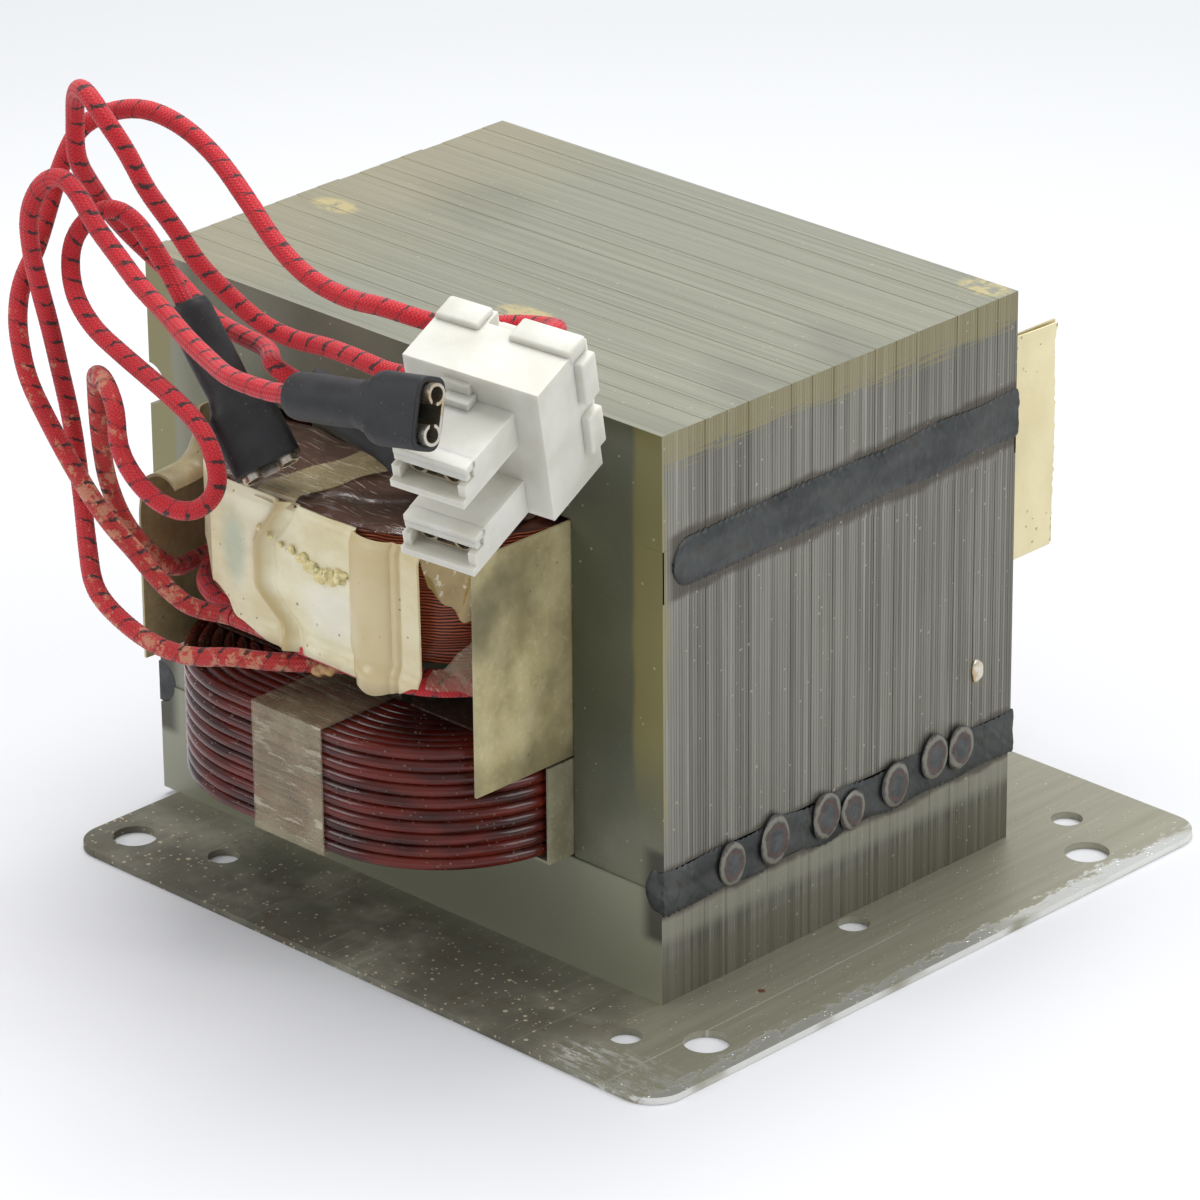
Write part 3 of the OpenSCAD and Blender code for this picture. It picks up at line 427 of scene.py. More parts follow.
@dataclass(frozen=True)
class FootSteel(Finish):
    """Dusty foot plate, scraped bright along its right edge."""

    right: float = 66.0
    front: float = -54.75

    def build(self) -> bpy.types.Material:
        """Build the material."""
        g = Graph(self.name)
        x, y = g.axis("X"), g.axis("Y")
        roll = g.noise(1.6, 4, 0.65, (1, 22, 1), 2.0)
        cloud = g.noise(16, 4, 0.6, (1, 1, 1), 5.5)
        colour = g.blend(g.step(roll, 0.2, 0.8), srgb(150, 147, 128), srgb(164, 161, 143))
        dirty = g.times(g.step(g.plus(g.times(y, 1.0), g.times(cloud, 12.0)), -24.0, -34.0),
                        g.step(g.plus(x, g.times(cloud, 10.0)), 62.0, 46.0))
        colour = g.blend(g.times(dirty, g.step(cloud, 0.2, 0.6), 0.75), colour, srgb(66, 63, 49))
        brown = g.step(g.noise(5, 5, 0.7, (1, 1, 1), 9.0), 0.5, 0.75)
        colour = g.blend(g.times(dirty, brown, 0.6), colour, srgb(92, 76, 54))
        specks = g.most(g.grains(0.62, 0.34, 1.0), g.grains(0.95, 0.1, 6.0))
        colour = g.blend(g.times(specks, g.plus(0.1, g.times(dirty, 0.75))), colour, srgb(196, 182, 152))
        ragged = g.times(g.math("SUBTRACT", g.noise(2.4, 5, 0.75, (1, 2.2, 1), 3.3), 0.5), 9.0)
        scrape = g.step(g.plus(x, ragged), self.right - 2.6, self.right - 1.6)
        corner = g.spot((self.right - 8, self.front + 3.5, 1), 4.5, 4.5, (1.6, 0.7, 1))
        scrape = g.most(scrape, g.times(corner, g.step(g.noise(1.5, 4, 0.7, (2.4, 0.6, 1), 11.0), 0.47, 0.6)))
        scrape = g.times(scrape, g.step(g.noise(6, 2, 0.5, (1, 2, 1), 13.0), 0.28, 0.5))
        colour = g.blend(scrape, colour, srgb(226, 226, 220))
        scribe = g.times(g.near(g.plus(x, g.times(y, 0.012)), self.right - 9.5, 0.07, 0.12), g.step(y, 6, 0))
        scratch = g.times(g.step(g.noise(1.4, 2, 0.5, (0.18, 14, 1), 19.0), 0.69, 0.72), 0.5)
        colour = g.blend(g.times(g.most(scribe, scratch), 0.5), colour, srgb(208, 206, 194))
        rust = g.spot((54.5, -22.5, 1), 0.35, 0.35)
        colour = g.blend(g.times(rust, 0.85), colour, srgb(116, 48, 22))
        rough = g.plus(0.4, g.times(dirty, 0.3), g.times(scrape, -0.08))
        metal = g.plus(0.6, g.times(dirty, -0.45), g.times(scrape, 0.3))
        height = g.plus(g.times(roll, 0.08), g.times(specks, 0.8), g.times(scrape, -0.4), g.times(cloud, 0.4))
        return g.finish(Base_Color=colour, Metallic=metal, Roughness=rough, Normal=g.bump(height, 0.08, 0.6))


@dataclass(frozen=True)
class WeldMetal(Finish):
    """Dark ridged weld bead with a blue-grey skin."""

    def build(self) -> bpy.types.Material:
        """Build the material."""
        g = Graph(self.name)
        ripple = g.noise(2.2, 4, 0.6, (1, 0.5, 1), 3.0)
        skin = g.noise(6, 4, 0.6, (1, 1.6, 1), 8.0)
        colour = g.blend(g.step(skin, 0.3, 0.7), srgb(48, 51, 52), srgb(76, 78, 76))
        colour = g.blend(g.times(g.step(ripple, 0.5, 0.75), 0.3), colour, srgb(96, 98, 96))
        edge = g.step(g.noise(1.8, 3, 0.6, (1, 1, 1), 14.0), 0.56, 0.7)
        colour = g.blend(g.times(edge, 0.4), colour, srgb(72, 58, 42))
        height = g.plus(g.times(ripple, 0.8), g.times(skin, 0.3), g.times(g.noise(0.4, 3, 0.7), 0.15))
        return g.finish(Base_Color=colour, Metallic=0.45, Roughness=g.plus(0.36, g.times(skin, 0.2)),
                        Normal=g.bump(height, 0.35, 0.7))


@dataclass(frozen=True)
class WireEnamel(Finish):
    """Deep red glossy enamel with dust lying on it."""

    def build(self) -> bpy.types.Material:
        """Build the material."""
        g = Graph(self.name)
        x = g.axis("X")
        tone = g.noise(9, 3, 0.5, (1, 1, 0.25), 2.0)
        colour = g.blend(g.step(tone, 0.3, 0.7), srgb(48, 12, 8), srgb(102, 30, 19))
        left = g.step(g.plus(x, g.times(g.noise(12, 3, 0.6), 14.0)), 0.0, -22.0)
        film = g.times(g.most(left, g.times(g.step(g.facing("Z"), 0.2, 0.8), 0.6)),
                       g.step(g.noise(4, 4, 0.65, (1, 1, 1), 5.0), 0.32, 0.62))
        colour = g.blend(g.times(film, 0.3), colour, srgb(78, 62, 54))
        specks = g.most(g.grains(0.4, 0.2, 2.0, (1.4, 1, 1)), g.grains(0.6, 0.06, 7.0, (1.8, 1, 1)))
        amount = g.plus(0.25, g.times(left, 0.6))
        colour = g.blend(g.times(specks, amount, 0.8), colour, srgb(180, 166, 146))
        rough = g.plus(0.13, g.times(film, 0.2), g.times(specks, amount, 0.5))
        height = g.plus(g.times(specks, 0.9), g.times(g.noise(0.6, 3, 0.6), 0.12))
        return g.finish(Base_Color=colour, Roughness=rough, Normal=g.bump(height, 0.06, 0.6),
                        Coat_Weight=0.08, Coat_Roughness=0.05, IOR=1.42)


@dataclass(frozen=True)
class FineWire(Finish):
    """Fine copper turns under amber varnish."""

    pitch: float = 0.42

    def build(self) -> bpy.types.Material:
        """Build the material."""
        g = Graph(self.name)
        z = g.axis("Z")
        waver = g.times(g.noise(5, 2, 0.5, (1, 1, 0.6), 2.0), 0.9)
        phase = g.math("FRACT", g.math("DIVIDE", g.plus(z, waver), self.pitch))
        round_top = g.math("SINE", g.times(phase, math.pi))
        turn = g.hashed(g.math("FLOOR", g.math("DIVIDE", g.plus(z, waver), self.pitch)))
        # Painted highlight and shade: each turn is bright copper on its crown and dark towards the gaps
        # between turns.
        colour = g.blend(g.step(round_top, 0.2, 0.95), srgb(48, 18, 12), srgb(196, 98, 58))
        colour = g.blend(g.times(turn, 0.45), colour, srgb(112, 46, 30))
        flat = g.step(g.math("ABSOLUTE", g.facing("Z")), 0.4, 0.7)
        colour = g.blend(g.times(flat, 0.75), colour, srgb(74, 44, 38))
        return g.finish(Base_Color=colour, Metallic=0.5, Roughness=0.34, Normal=g.bump(round_top, 0.16, 0.9),
                        Coat_Weight=0.3, Coat_Roughness=0.15)


@dataclass(frozen=True)
class Paper(Finish):
    """Varnished insulating paper with folds, stains and dust."""

    light: tuple = srgb(226, 217, 180)
    dark: tuple = srgb(186, 167, 118)
    grime: float = 0.35
    gloss: float = 0.38
    backlit: float = 0.0
    smudge: tuple = srgb(92, 86, 68)

    def build(self) -> bpy.types.Material:
        """Build the material."""
        g = Graph(self.name)
        cloud = g.noise(8, 4, 0.6, (1, 1, 1.4), 3.0)
        fibre = g.noise(0.7, 4, 0.7, (1, 1, 1), 5.0)
        colour = g.blend(g.step(cloud, 0.28, 0.72), self.dark, self.light)
        colour = g.blend(g.times(g.step(fibre, 0.5, 0.72), 0.16), colour, srgb(244, 238, 214))
        patch = g.step(g.noise(16, 4, 0.5, (1, 1, 1), 15.0), 0.4, 0.72)
        colour = g.blend(g.times(patch, self.grime), colour, self.smudge)
        specks = g.grains(0.7, 0.08, 4.0)
        colour = g.blend(g.times(specks, 0.55), colour, srgb(84, 70, 52))
        height = g.plus(g.times(fibre, 0.4), g.times(cloud, 0.6))
        return g.finish(Base_Color=colour, Roughness=self.gloss, Normal=g.bump(height, 0.12, 0.5),
                        Specular_IOR_Level=0.45, Subsurface_Weight=self.backlit,
                        Subsurface_Radius=(1.0, 0.75, 0.4), Subsurface_Scale=0.002)


@dataclass(frozen=True)
class Film(Finish):
    """Thin clear plastic, yellowed and scratched."""

    colour: tuple = srgb(196, 178, 132)
    body: float = 0.22
    haze: float = 0.35

    def build(self) -> bpy.types.Material:
        """Build the material."""
        g = Graph(self.name)
        crease = g.step(g.noise(5, 4, 0.62, (1, 1, 1), 3.0, 1.2), 0.52, 0.6)
        scratch = g.step(g.noise(2, 3, 0.6, (4.5, 0.22, 1), 9.0), 0.6, 0.66)
        cloud = g.noise(7, 4, 0.6, (1, 1, 1), 12.0)
        tint = g.blend(g.times(scratch, 0.5), self.colour, srgb(236, 226, 206))
        cover = g.plus(self.body, g.times(g.step(cloud, 0.4, 0.75), self.haze), g.times(scratch, 0.2))
        height = g.plus(g.times(crease, 0.5), g.times(cloud, 0.6))
        return g.finish(Base_Color=tint, Roughness=0.16, Alpha=g.math("MINIMUM", cover, 1.0),
                        Normal=g.bump(height, 0.25, 0.6), Specular_IOR_Level=0.7, Coat_Weight=0.4,
                        Coat_Roughness=0.08)


@dataclass(frozen=True)
class Braid(Finish):
    """Braided glass sleeving with a dark tracer, stained near the coils."""

    carriers: int = 12
    cell: float = 0.5
    tracer_mm: float = 2.9

    def build(self) -> bpy.types.Material:
        """Build the material; the map holds the length in centimetres and the turn round the cord."""
        g = Graph(self.name)
        along = g.times(g.uv("X"), 10.0 / self.cell)
        around = g.times(g.uv("Y"), float(self.carriers))
        first, second = g.plus(around, along), g.math("SUBTRACT", around, along)
        over = g.math("MODULO", g.plus(g.math("FLOOR", first), g.math("FLOOR", second), 4000.0), 2.0)
        a = g.math("SINE", g.times(g.math("FRACT", first), math.pi))
        b = g.math("SINE", g.times(g.math("FRACT", second), math.pi))
        height = g.between(over, a, b)
        fray = g.noise(0.4, 3, 0.7, (1, 1, 1), 19.0)
        sway = g.times(g.math("SUBTRACT", g.noise(1.2, 2, 0.5, (1, 1, 1), 12.0), 0.5), 0.5)
        turn = g.math("FRACT", g.plus(g.times(g.uv("X"), 10.0 / self.tracer_mm), g.uv("Y"), sway, 40.0))
        line = g.math("ABSOLUTE", g.math("SUBTRACT", turn, 0.5))
        shown = g.most(g.times(g.step(line, 0.11, 0.06),
                               g.step(g.math("FRACT", g.plus(g.times(g.uv("Y"), 2.0), 0.3)), 0.62, 0.5)),
                       g.times(g.step(line, 0.07, 0.03), 0.45))
        shown = g.times(shown, g.step(g.plus(height, fray), 0.1, 0.3))
        fuzz = g.noise(0.3, 4, 0.75, (1, 1, 1), 2.0)
        wide = g.noise(7, 3, 0.55, (1, 1, 1), 8.0)
        # Painted shade: the braid is darker down in the hollows between its carriers and brighter on their
        # crowns.
        red = g.blend(g.step(height, 0.05, 0.9), srgb(150, 8, 20), srgb(216, 26, 40))
        red = g.blend(g.times(g.step(fuzz, 0.5, 0.8), 0.3), red, srgb(242, 110, 112))
        red = g.blend(g.times(g.step(wide, 0.4, 0.7), 0.25), red, srgb(176, 16, 26))
        stain = g.attribute("stain")
        blotch = g.step(g.plus(g.noise(2.2, 4, 0.7, (1, 1, 1), 4.0), g.times(stain, 0.13)), 0.6, 0.7)
        colour = g.blend(g.times(g.step(stain, 0.05, 0.9), 0.4), red, srgb(184, 74, 62))
        colour = g.blend(g.times(blotch, g.step(stain, 0.05, 0.4), 0.65), colour, srgb(212, 160, 124))
        colour = g.blend(g.times(stain, g.grains(0.6, 0.3, 2.5), 0.5), colour, srgb(120, 84, 58))
        colour = g.blend(g.times(shown, 0.92), colour, srgb(34, 26, 26))
        bumps = g.plus(g.times(height, 0.7), g.times(fuzz, 0.5))
        return g.finish(Base_Color=colour, Roughness=0.62, Normal=g.bump(bumps, 0.13, 0.8), Sheen_Weight=0.25,
                        Sheen_Roughness=0.5, Specular_IOR_Level=0.35)


@dataclass(frozen=True)
class Nylon(Finish):
    """Milky white moulded nylon."""

    def build(self) -> bpy.types.Material:
        """Build the material."""
        g = Graph(self.name)
        cloud = g.noise(6, 3, 0.5, (1, 1, 1), 3.0)
        fine = g.noise(0.4, 3, 0.7)
        colour = g.blend(g.step(cloud, 0.3, 0.7), srgb(202, 199, 186), srgb(214, 212, 202))
        scuff = g.step(g.noise(1.6, 4, 0.7, (1, 1, 1), 9.0), 0.62, 0.74)
        colour = g.blend(g.times(scuff, 0.14), colour, srgb(190, 180, 160))
        return g.finish(Base_Color=colour, Roughness=0.42,
                        Normal=g.bump(g.plus(fine, g.times(cloud, 0.6)), 0.04, 0.4), Subsurface_Weight=0.5,
                        Subsurface_Radius=(1.0, 0.93, 0.8), Subsurface_Scale=0.002, IOR=1.5)


@dataclass(frozen=True)
class SleeveVinyl(Finish):
    """Matt black sleeve with dust and a faint sheen."""

    def build(self) -> bpy.types.Material:
        """Build the material."""
        g = Graph(self.name)
        cloud = g.noise(4, 4, 0.6, (1, 1, 1), 3.0)
        fine = g.noise(0.5, 4, 0.7, (1, 1, 1), 6.0)
        colour = g.blend(g.step(cloud, 0.3, 0.75), srgb(22, 22, 23), srgb(40, 40, 41))
        colour = g.blend(g.times(g.grains(0.3, 0.06, 2.0), 0.3), colour, srgb(140, 138, 132))
        return g.finish(Base_Color=colour, Roughness=g.plus(0.45, g.times(cloud, 0.2)),
                        Normal=g.bump(g.plus(g.times(cloud, 0.8), g.times(fine, 0.4)), 0.2, 0.6))


@dataclass(frozen=True)
class TinPlate(Finish):
    """Tin plate with bare brass showing where it is cut or rubbed."""

    def build(self) -> bpy.types.Material:
        """Build the material."""
        g = Graph(self.name)
        rub = g.step(g.noise(1.8, 4, 0.65, (1, 1, 1), 3.0), 0.45, 0.65)
        colour = g.blend(g.times(rub, 0.65), srgb(214, 208, 194), srgb(184, 150, 92))
        fine = g.noise(0.5, 3, 0.6)
        return g.finish(Base_Color=colour, Metallic=0.9, Roughness=0.26, Normal=g.bump(fine, 0.03, 0.5))


@dataclass(frozen=True)
class Lump(Finish):
    """Dried varnish, glue or crust with a crumbly skin."""

    light: tuple = srgb(228, 212, 150)
    dark: tuple = srgb(176, 150, 84)
    shine: float = 0.3

    def build(self) -> bpy.types.Material:
        """Build the material."""
        g = Graph(self.name)
        cloud = g.noise(1.4, 4, 0.7, (1, 1, 1), 3.0)
        colour = g.blend(g.step(cloud, 0.3, 0.7), self.dark, self.light)
        return g.finish(Base_Color=colour, Roughness=self.shine, Normal=g.bump(cloud, 0.2, 0.7),
                        Subsurface_Weight=0.2, Subsurface_Radius=(1.0, 0.8, 0.4), Subsurface_Scale=0.001)


# ---------------------------------------------------------------- shaping helpers


def deselect() -> None:
    """Leave edit mode and select nothing."""
    if bpy.context.object is not None and bpy.context.object.mode != "OBJECT":
        bpy.ops.object.mode_set(mode="OBJECT")
    bpy.ops.object.select_all(action="DESELECT")


def take(piece: bpy.types.Object) -> None:
    """Make one piece the only selected and the active one."""
    deselect()
    piece.select_set(True)
    bpy.context.view_layer.objects.active = piece


def settle(piece: bpy.types.Object) -> None:
    """Bring a piece's place and turn into its mesh."""
    take(piece)
    bpy.ops.object.transform_apply(location=True, rotation=True, scale=True)


def modify(piece: bpy.types.Object, kind: str, **settings: object) -> None:
    """Add one modifier to a piece and apply it."""
    take(piece)
    modifier = piece.modifiers.new(kind.title(), kind)
    for key, value in settings.items():
        setattr(modifier, key, value)
    bpy.ops.object.modifier_apply(modifier=modifier.name)


def soften(piece: bpy.types.Object, degrees: float = 40.0) -> None:
    """Shade a piece smooth but for edges sharper than an angle."""
    take(piece)
    bpy.ops.object.shade_smooth_by_angle(angle=math.radians(degrees))


def face_out(piece: bpy.types.Object) -> None:
    """Turn all faces of a closed piece outwards."""
    take(piece)
    bpy.ops.object.mode_set(mode="EDIT")
    bpy.ops.mesh.select_all(action="SELECT")
    bpy.ops.mesh.normals_make_consistent(inside=False)
    bpy.ops.object.mode_set(mode="OBJECT")


def dress(piece: bpy.types.Object, material: bpy.types.Material) -> bpy.types.Object:
    """Give a new piece its material and slot, and let it ride on the body.

    Args:
        piece: The new piece.
        material: Its material.

    Returns:
        The same piece.
    """
    piece.data.materials.clear()
    piece.data.materials.append(material)
    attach(piece, "root")
    LOG.info("made %s with %d faces", piece.name, len(piece.data.polygons))
    return piece


def grid(name: str, columns: int, rows: int, place: Callable[[float, float], Point]) -> bpy.types.Object:
    """Add a grid and lay its points on a surface.

    Args:
        name: Name of the piece.
        columns: Cells along the first direction.
        rows: Cells along the second direction.
        place: Point in millimetres for two numbers from 0 to 1.

    Returns:
        The sheet, with one side.
    """
    deselect()
    bpy.ops.mesh.primitive_grid_add(x_subdivisions=columns, y_subdivisions=rows, size=2)
    piece = bpy.context.object
    piece.name = name
    for vertex in piece.data.vertices:
        u, v = (vertex.co.x + 1) / 2, (vertex.co.y + 1) / 2
        vertex.co = Vector(place(u, v)) * MM
    return piece


def thicken(piece: bpy.types.Object, thickness: float, offset: float = 0.0) -> None:
    """Give a sheet a wall of some millimetres."""
    modify(piece, "SOLIDIFY", thickness=thickness * MM, offset=offset)


def close(piece: bpy.types.Object, wall: float, offset: float, degrees: float) -> None:
    """Make a closed, smoothly shaded piece of a sheet with one side.

    Args:
        piece: The sheet.
        wall: Thickness in millimetres.
        offset: Side the wall grows to, from -1 to 1.
        degrees: Edges sharper than this stay sharp.
    """
    thicken(piece, wall, offset)
    face_out(piece)
    soften(piece, degrees)


def merge(piece: bpy.types.Object, gap: float) -> None:
    """Merge the points of a piece that lie within a gap in metres."""
    take(piece)
    bpy.ops.object.mode_set(mode="EDIT")
    bpy.ops.mesh.select_all(action="SELECT")
    bpy.ops.mesh.remove_doubles(threshold=gap)
    bpy.ops.object.mode_set(mode="OBJECT")


def refined(node: str, name: str, bevel: float, segments: int) -> bpy.types.Object:
    """Copy a fixed node, merge its triangles and round its edges.

    Args:
        node: Name of the node.
        name: Name of the copy.
        bevel: Width of the rounded edges in millimetres.
        segments: Steps across each rounded edge.

    Returns:
        The copy, which replaces the node.
    """
    deselect()
    piece = bpy.data.objects[node].copy()
    piece.data = piece.data.copy()
    piece.name = name
    for key in list(piece.keys()):
        del piece[key]
    bpy.context.scene.collection.objects.link(piece)
    take(piece)
    bpy.ops.object.mode_set(mode="EDIT")
    bpy.ops.mesh.select_all(action="SELECT")
    bpy.ops.mesh.remove_doubles(threshold=0.00001)
    bpy.ops.mesh.dissolve_limited(angle_limit=math.radians(1.0))
    bpy.ops.object.mode_set(mode="OBJECT")
    modify(piece, "BEVEL", width=bevel * MM, segments=segments, limit_method="ANGLE",
           angle_limit=math.radians(30), use_clamp_overlap=True)
    soften(piece, 35)
    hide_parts(node)
    return piece


def wave(seed: int, count: int, low: float, high: float) -> Callable[[float], float]:
    """Smooth random line as a sum of sines.

    Args:
        seed: Seed of the draws.
        count: Number of sines.
        low: Slowest number of turns for each unit.
        high: Fastest number of turns for each unit.

    Returns:
        Function from a number to a value of about -1 to 1.
    """
    draw = random.Random(seed)
    parts = [(draw.uniform(low, high), draw.uniform(0, math.tau), draw.uniform(0.4, 1.0))
             for _ in range(count)]
    total = sum(p[2] for p in parts)
    return lambda t: sum(a * math.sin(math.tau * f * t + s) for f, s, a in parts) / total * 1.6


def ramp(value: float, low: float, high: float) -> float:
    """Smooth step from 0 at low to 1 at high."""
    t = min(max((value - low) / (high - low), 0.0), 1.0)
    return t * t * (3 - 2 * t)


# ---------------------------------------------------------------- camera, lamps and floor


@dataclass
class Studio:
    """Camera, lamps and pale floor."""

    eye: Point = (577.10, -585.88, 401.82)
    right: Point = (0.717205, 0.696814, -0.008214)
    up: Point = (-0.279949, 0.298895, 0.912300)
    back: Point = (0.638158, -0.652006, 0.409441)
    lens: float = 198.90
    floor_size: float = 6.0

    def place_camera(self) -> None:
        """Add the camera and make it the scene's."""
        data = bpy.data.cameras.new("camera")
        data.lens, data.sensor_width, data.clip_start, data.clip_end = self.lens, 36.0, 0.05, 20.0
        camera = bpy.data.objects.new("camera", data)
        turn = Matrix((self.right, self.up, self.back)).transposed().to_4x4()
        camera.matrix_world = Matrix.Translation(Vector(self.eye) * MM) @ turn
        bpy.context.scene.collection.objects.link(camera)
        bpy.context.scene.camera = camera

    def lamp(self, name: str, place: Point, target: Point, size: float, watts: float) -> None:
        """Add a soft square lamp, with its place and target in metres."""
        data = bpy.data.lights.new(name, "AREA")
        data.size, data.energy = size, watts
        lamp = bpy.data.objects.new(name, data)
        away = Vector(place) - Vector(target)
        lamp.location = place
        lamp.rotation_euler = away.to_track_quat("Z", "Y").to_euler()
        bpy.context.scene.collection.objects.link(lamp)

    def floor_material(self) -> bpy.types.Material:
        """Pale floor that stays light for the camera and keeps shadows, with painted falloff that darkens it
        away from the object.
        """
        g = Graph("floor")
        cloud = g.noise(260, 2, 0.5)
        scratch = g.step(g.noise(14, 2, 0.5, (0.25, 9, 1), 5.0), 0.70, 0.73)
        colour = g.blend(g.step(cloud, 0.2, 0.8), srgb(212, 212, 214), srgb(220, 220, 222))
        colour = g.blend(g.times(scratch, 0.12), colour, srgb(190, 190, 190))
        # Painted light falloff: the floor is darker far from the object.
        far = g.math("SUBTRACT", 1.0, g.spot((20.0, -20.0, 0.0), 150.0, 260.0))
        colour = g.blend(g.times(far, 0.9), colour, srgb(192, 193, 194))
        shader = g.node("BsdfPrincipled", {"Base Color": colour, "Roughness": 0.75,
                                           "Specular IOR Level": 0.15})
        glow = g.node("Emission", {"Color": srgb(255, 255, 255), "Strength": 0.05})
        rays = g.node("LightPath").outputs
        seen = g.most(rays["Is Camera Ray"], rays["Is Glossy Ray"], rays["Is Transmission Ray"])
        dark = g.node("Emission", {"Color": (0, 0, 0, 1), "Strength": 0.0})
        extra = g.node("MixShader", {0: seen, 1: dark.outputs[0], 2: glow.outputs[0]})
        both = g.node("AddShader", {0: shader.outputs[0], 1: extra.outputs[0]})
        g.tree.links.new(both.outputs[0], g.node("OutputMaterial").inputs["Surface"])
        return g.material

    def lay_floor(self) -> None:
        """Add the floor and the pale surroundings."""
        deselect()
        bpy.ops.mesh.primitive_plane_add(size=self.floor_size, location=(0, 0, -0.00005))
        floor = bpy.context.object
        floor.name = "studio_floor"
        floor.data.materials.append(self.floor_material())
        world = bpy.data.worlds.new("studio")
        world.use_nodes = True
        bpy.context.scene.world = world
        tree = world.node_tree
        tree.nodes.clear()
        path = tree.nodes.new("ShaderNodeLightPath")
        top = tree.nodes.new("ShaderNodeMath")
        top.operation = "MAXIMUM"
        tree.links.new(path.outputs["Is Camera Ray"], top.inputs[0])
        tree.links.new(path.outputs["Is Transmission Ray"], top.inputs[1])
        pale, dim = tree.nodes.new("ShaderNodeBackground"), tree.nodes.new("ShaderNodeBackground")
        pale.inputs[0].default_value, pale.inputs[1].default_value = srgb(248, 249, 251), 1.0
        dim.inputs[0].default_value, dim.inputs[1].default_value = srgb(240, 244, 250), 0.62
        mix, out = tree.nodes.new("ShaderNodeMixShader"), tree.nodes.new("ShaderNodeOutputWorld")
        tree.links.new(top.outputs[0], mix.inputs[0])
        tree.links.new(dim.outputs[0], mix.inputs[1])
        tree.links.new(pale.outputs[0], mix.inputs[2])
        tree.links.new(mix.outputs[0], out.inputs["Surface"])
        bpy.context.scene.view_settings.view_transform = "Standard"

    def build(self) -> None:
        """Set the whole studio up."""
        self.place_camera()
        self.lay_floor()
        self.lamp("lamp_top", (-0.15, 0.35, 1.1), (0, 0, 0.03), 0.9, 12.5)
        self.lamp("lamp_right", (1.0, 0.2, 0.55), (0.02, 0, 0.04), 0.6, 3.8)
        self.lamp("lamp_left", (-0.55, -0.9, 0.6), (0, -0.04, 0.05), 0.5, 3.0)


# ---------------------------------------------------------------- leads


def placed(at: Point, turn: Point, point: Point) -> Vector:
    """Carry a local point by a turn in degrees and a place, in millimetres."""
    return Vector(at) + Euler([math.radians(a) for a in turn], "XYZ").to_matrix() @ Vector(point)


def curve_through(points: Sequence[Vector], steps: int = 12) -> list[Vector]:
    """Points on a Catmull-Rom curve through route points.

    Args:
        points: Route points in millimetres.
        steps: Points for each span.

    Returns:
        The finer line.
    """
    last = len(points) - 1
    line = []
    for i in range(last):
        p0, p1, p2, p3 = points[max(i - 1, 0)], points[i], points[i + 1], points[min(i + 2, last)]
        for k in range(steps):
            t = k / steps
            line.append(0.5 * (2 * p1 + (p2 - p0) * t + (2 * p0 - 5 * p1 + 4 * p2 - p3) * t * t
                               + (3 * p1 - p0 - 3 * p2 + p3) * t ** 3))
    line.append(points[last].copy())
    return line


def evenly(line: Sequence[Vector], pitch: float) -> list[Vector]:
    """Points at an even pitch along a line."""
    total = sum((b - a).length for a, b in zip(line, line[1:]))
    count = max(2, round(total / pitch))
    step, result, walked, target = total / count, [line[0].copy()], 0.0, total / count
    for a, b in zip(line, line[1:]):
        length = (b - a).length
        while length > 0 and walked + length >= target - 1e-9 and len(result) < count:
            result.append(a.lerp(b, (target - walked) / length))
            target += step
        walked += length
    result.append(line[-1].copy())
    return result


def eased(line: Sequence[Vector], passes: int) -> list[Vector]:
    """Line with its tight bends opened a little and its ends kept."""
    result = list(line)
    keep = 5
    for _ in range(passes):
        result = result[:keep] + [(result[i - 1] + 2 * result[i] + result[i + 1]) / 4
                                  for i in range(keep, len(result) - keep)] + result[-keep:]
    return result


@dataclass(frozen=True)
class Stain:
    """Stretch of a lead that is dusty or stained."""

    start: float
    end: float
    amount: float

    def at(self, length: float) -> float:
        """Strength at a length along the lead in millimetres."""
        return (self.amount * ramp(length, self.start - 6, self.start + 2)
                * ramp(length, self.end + 9, self.end - 3))


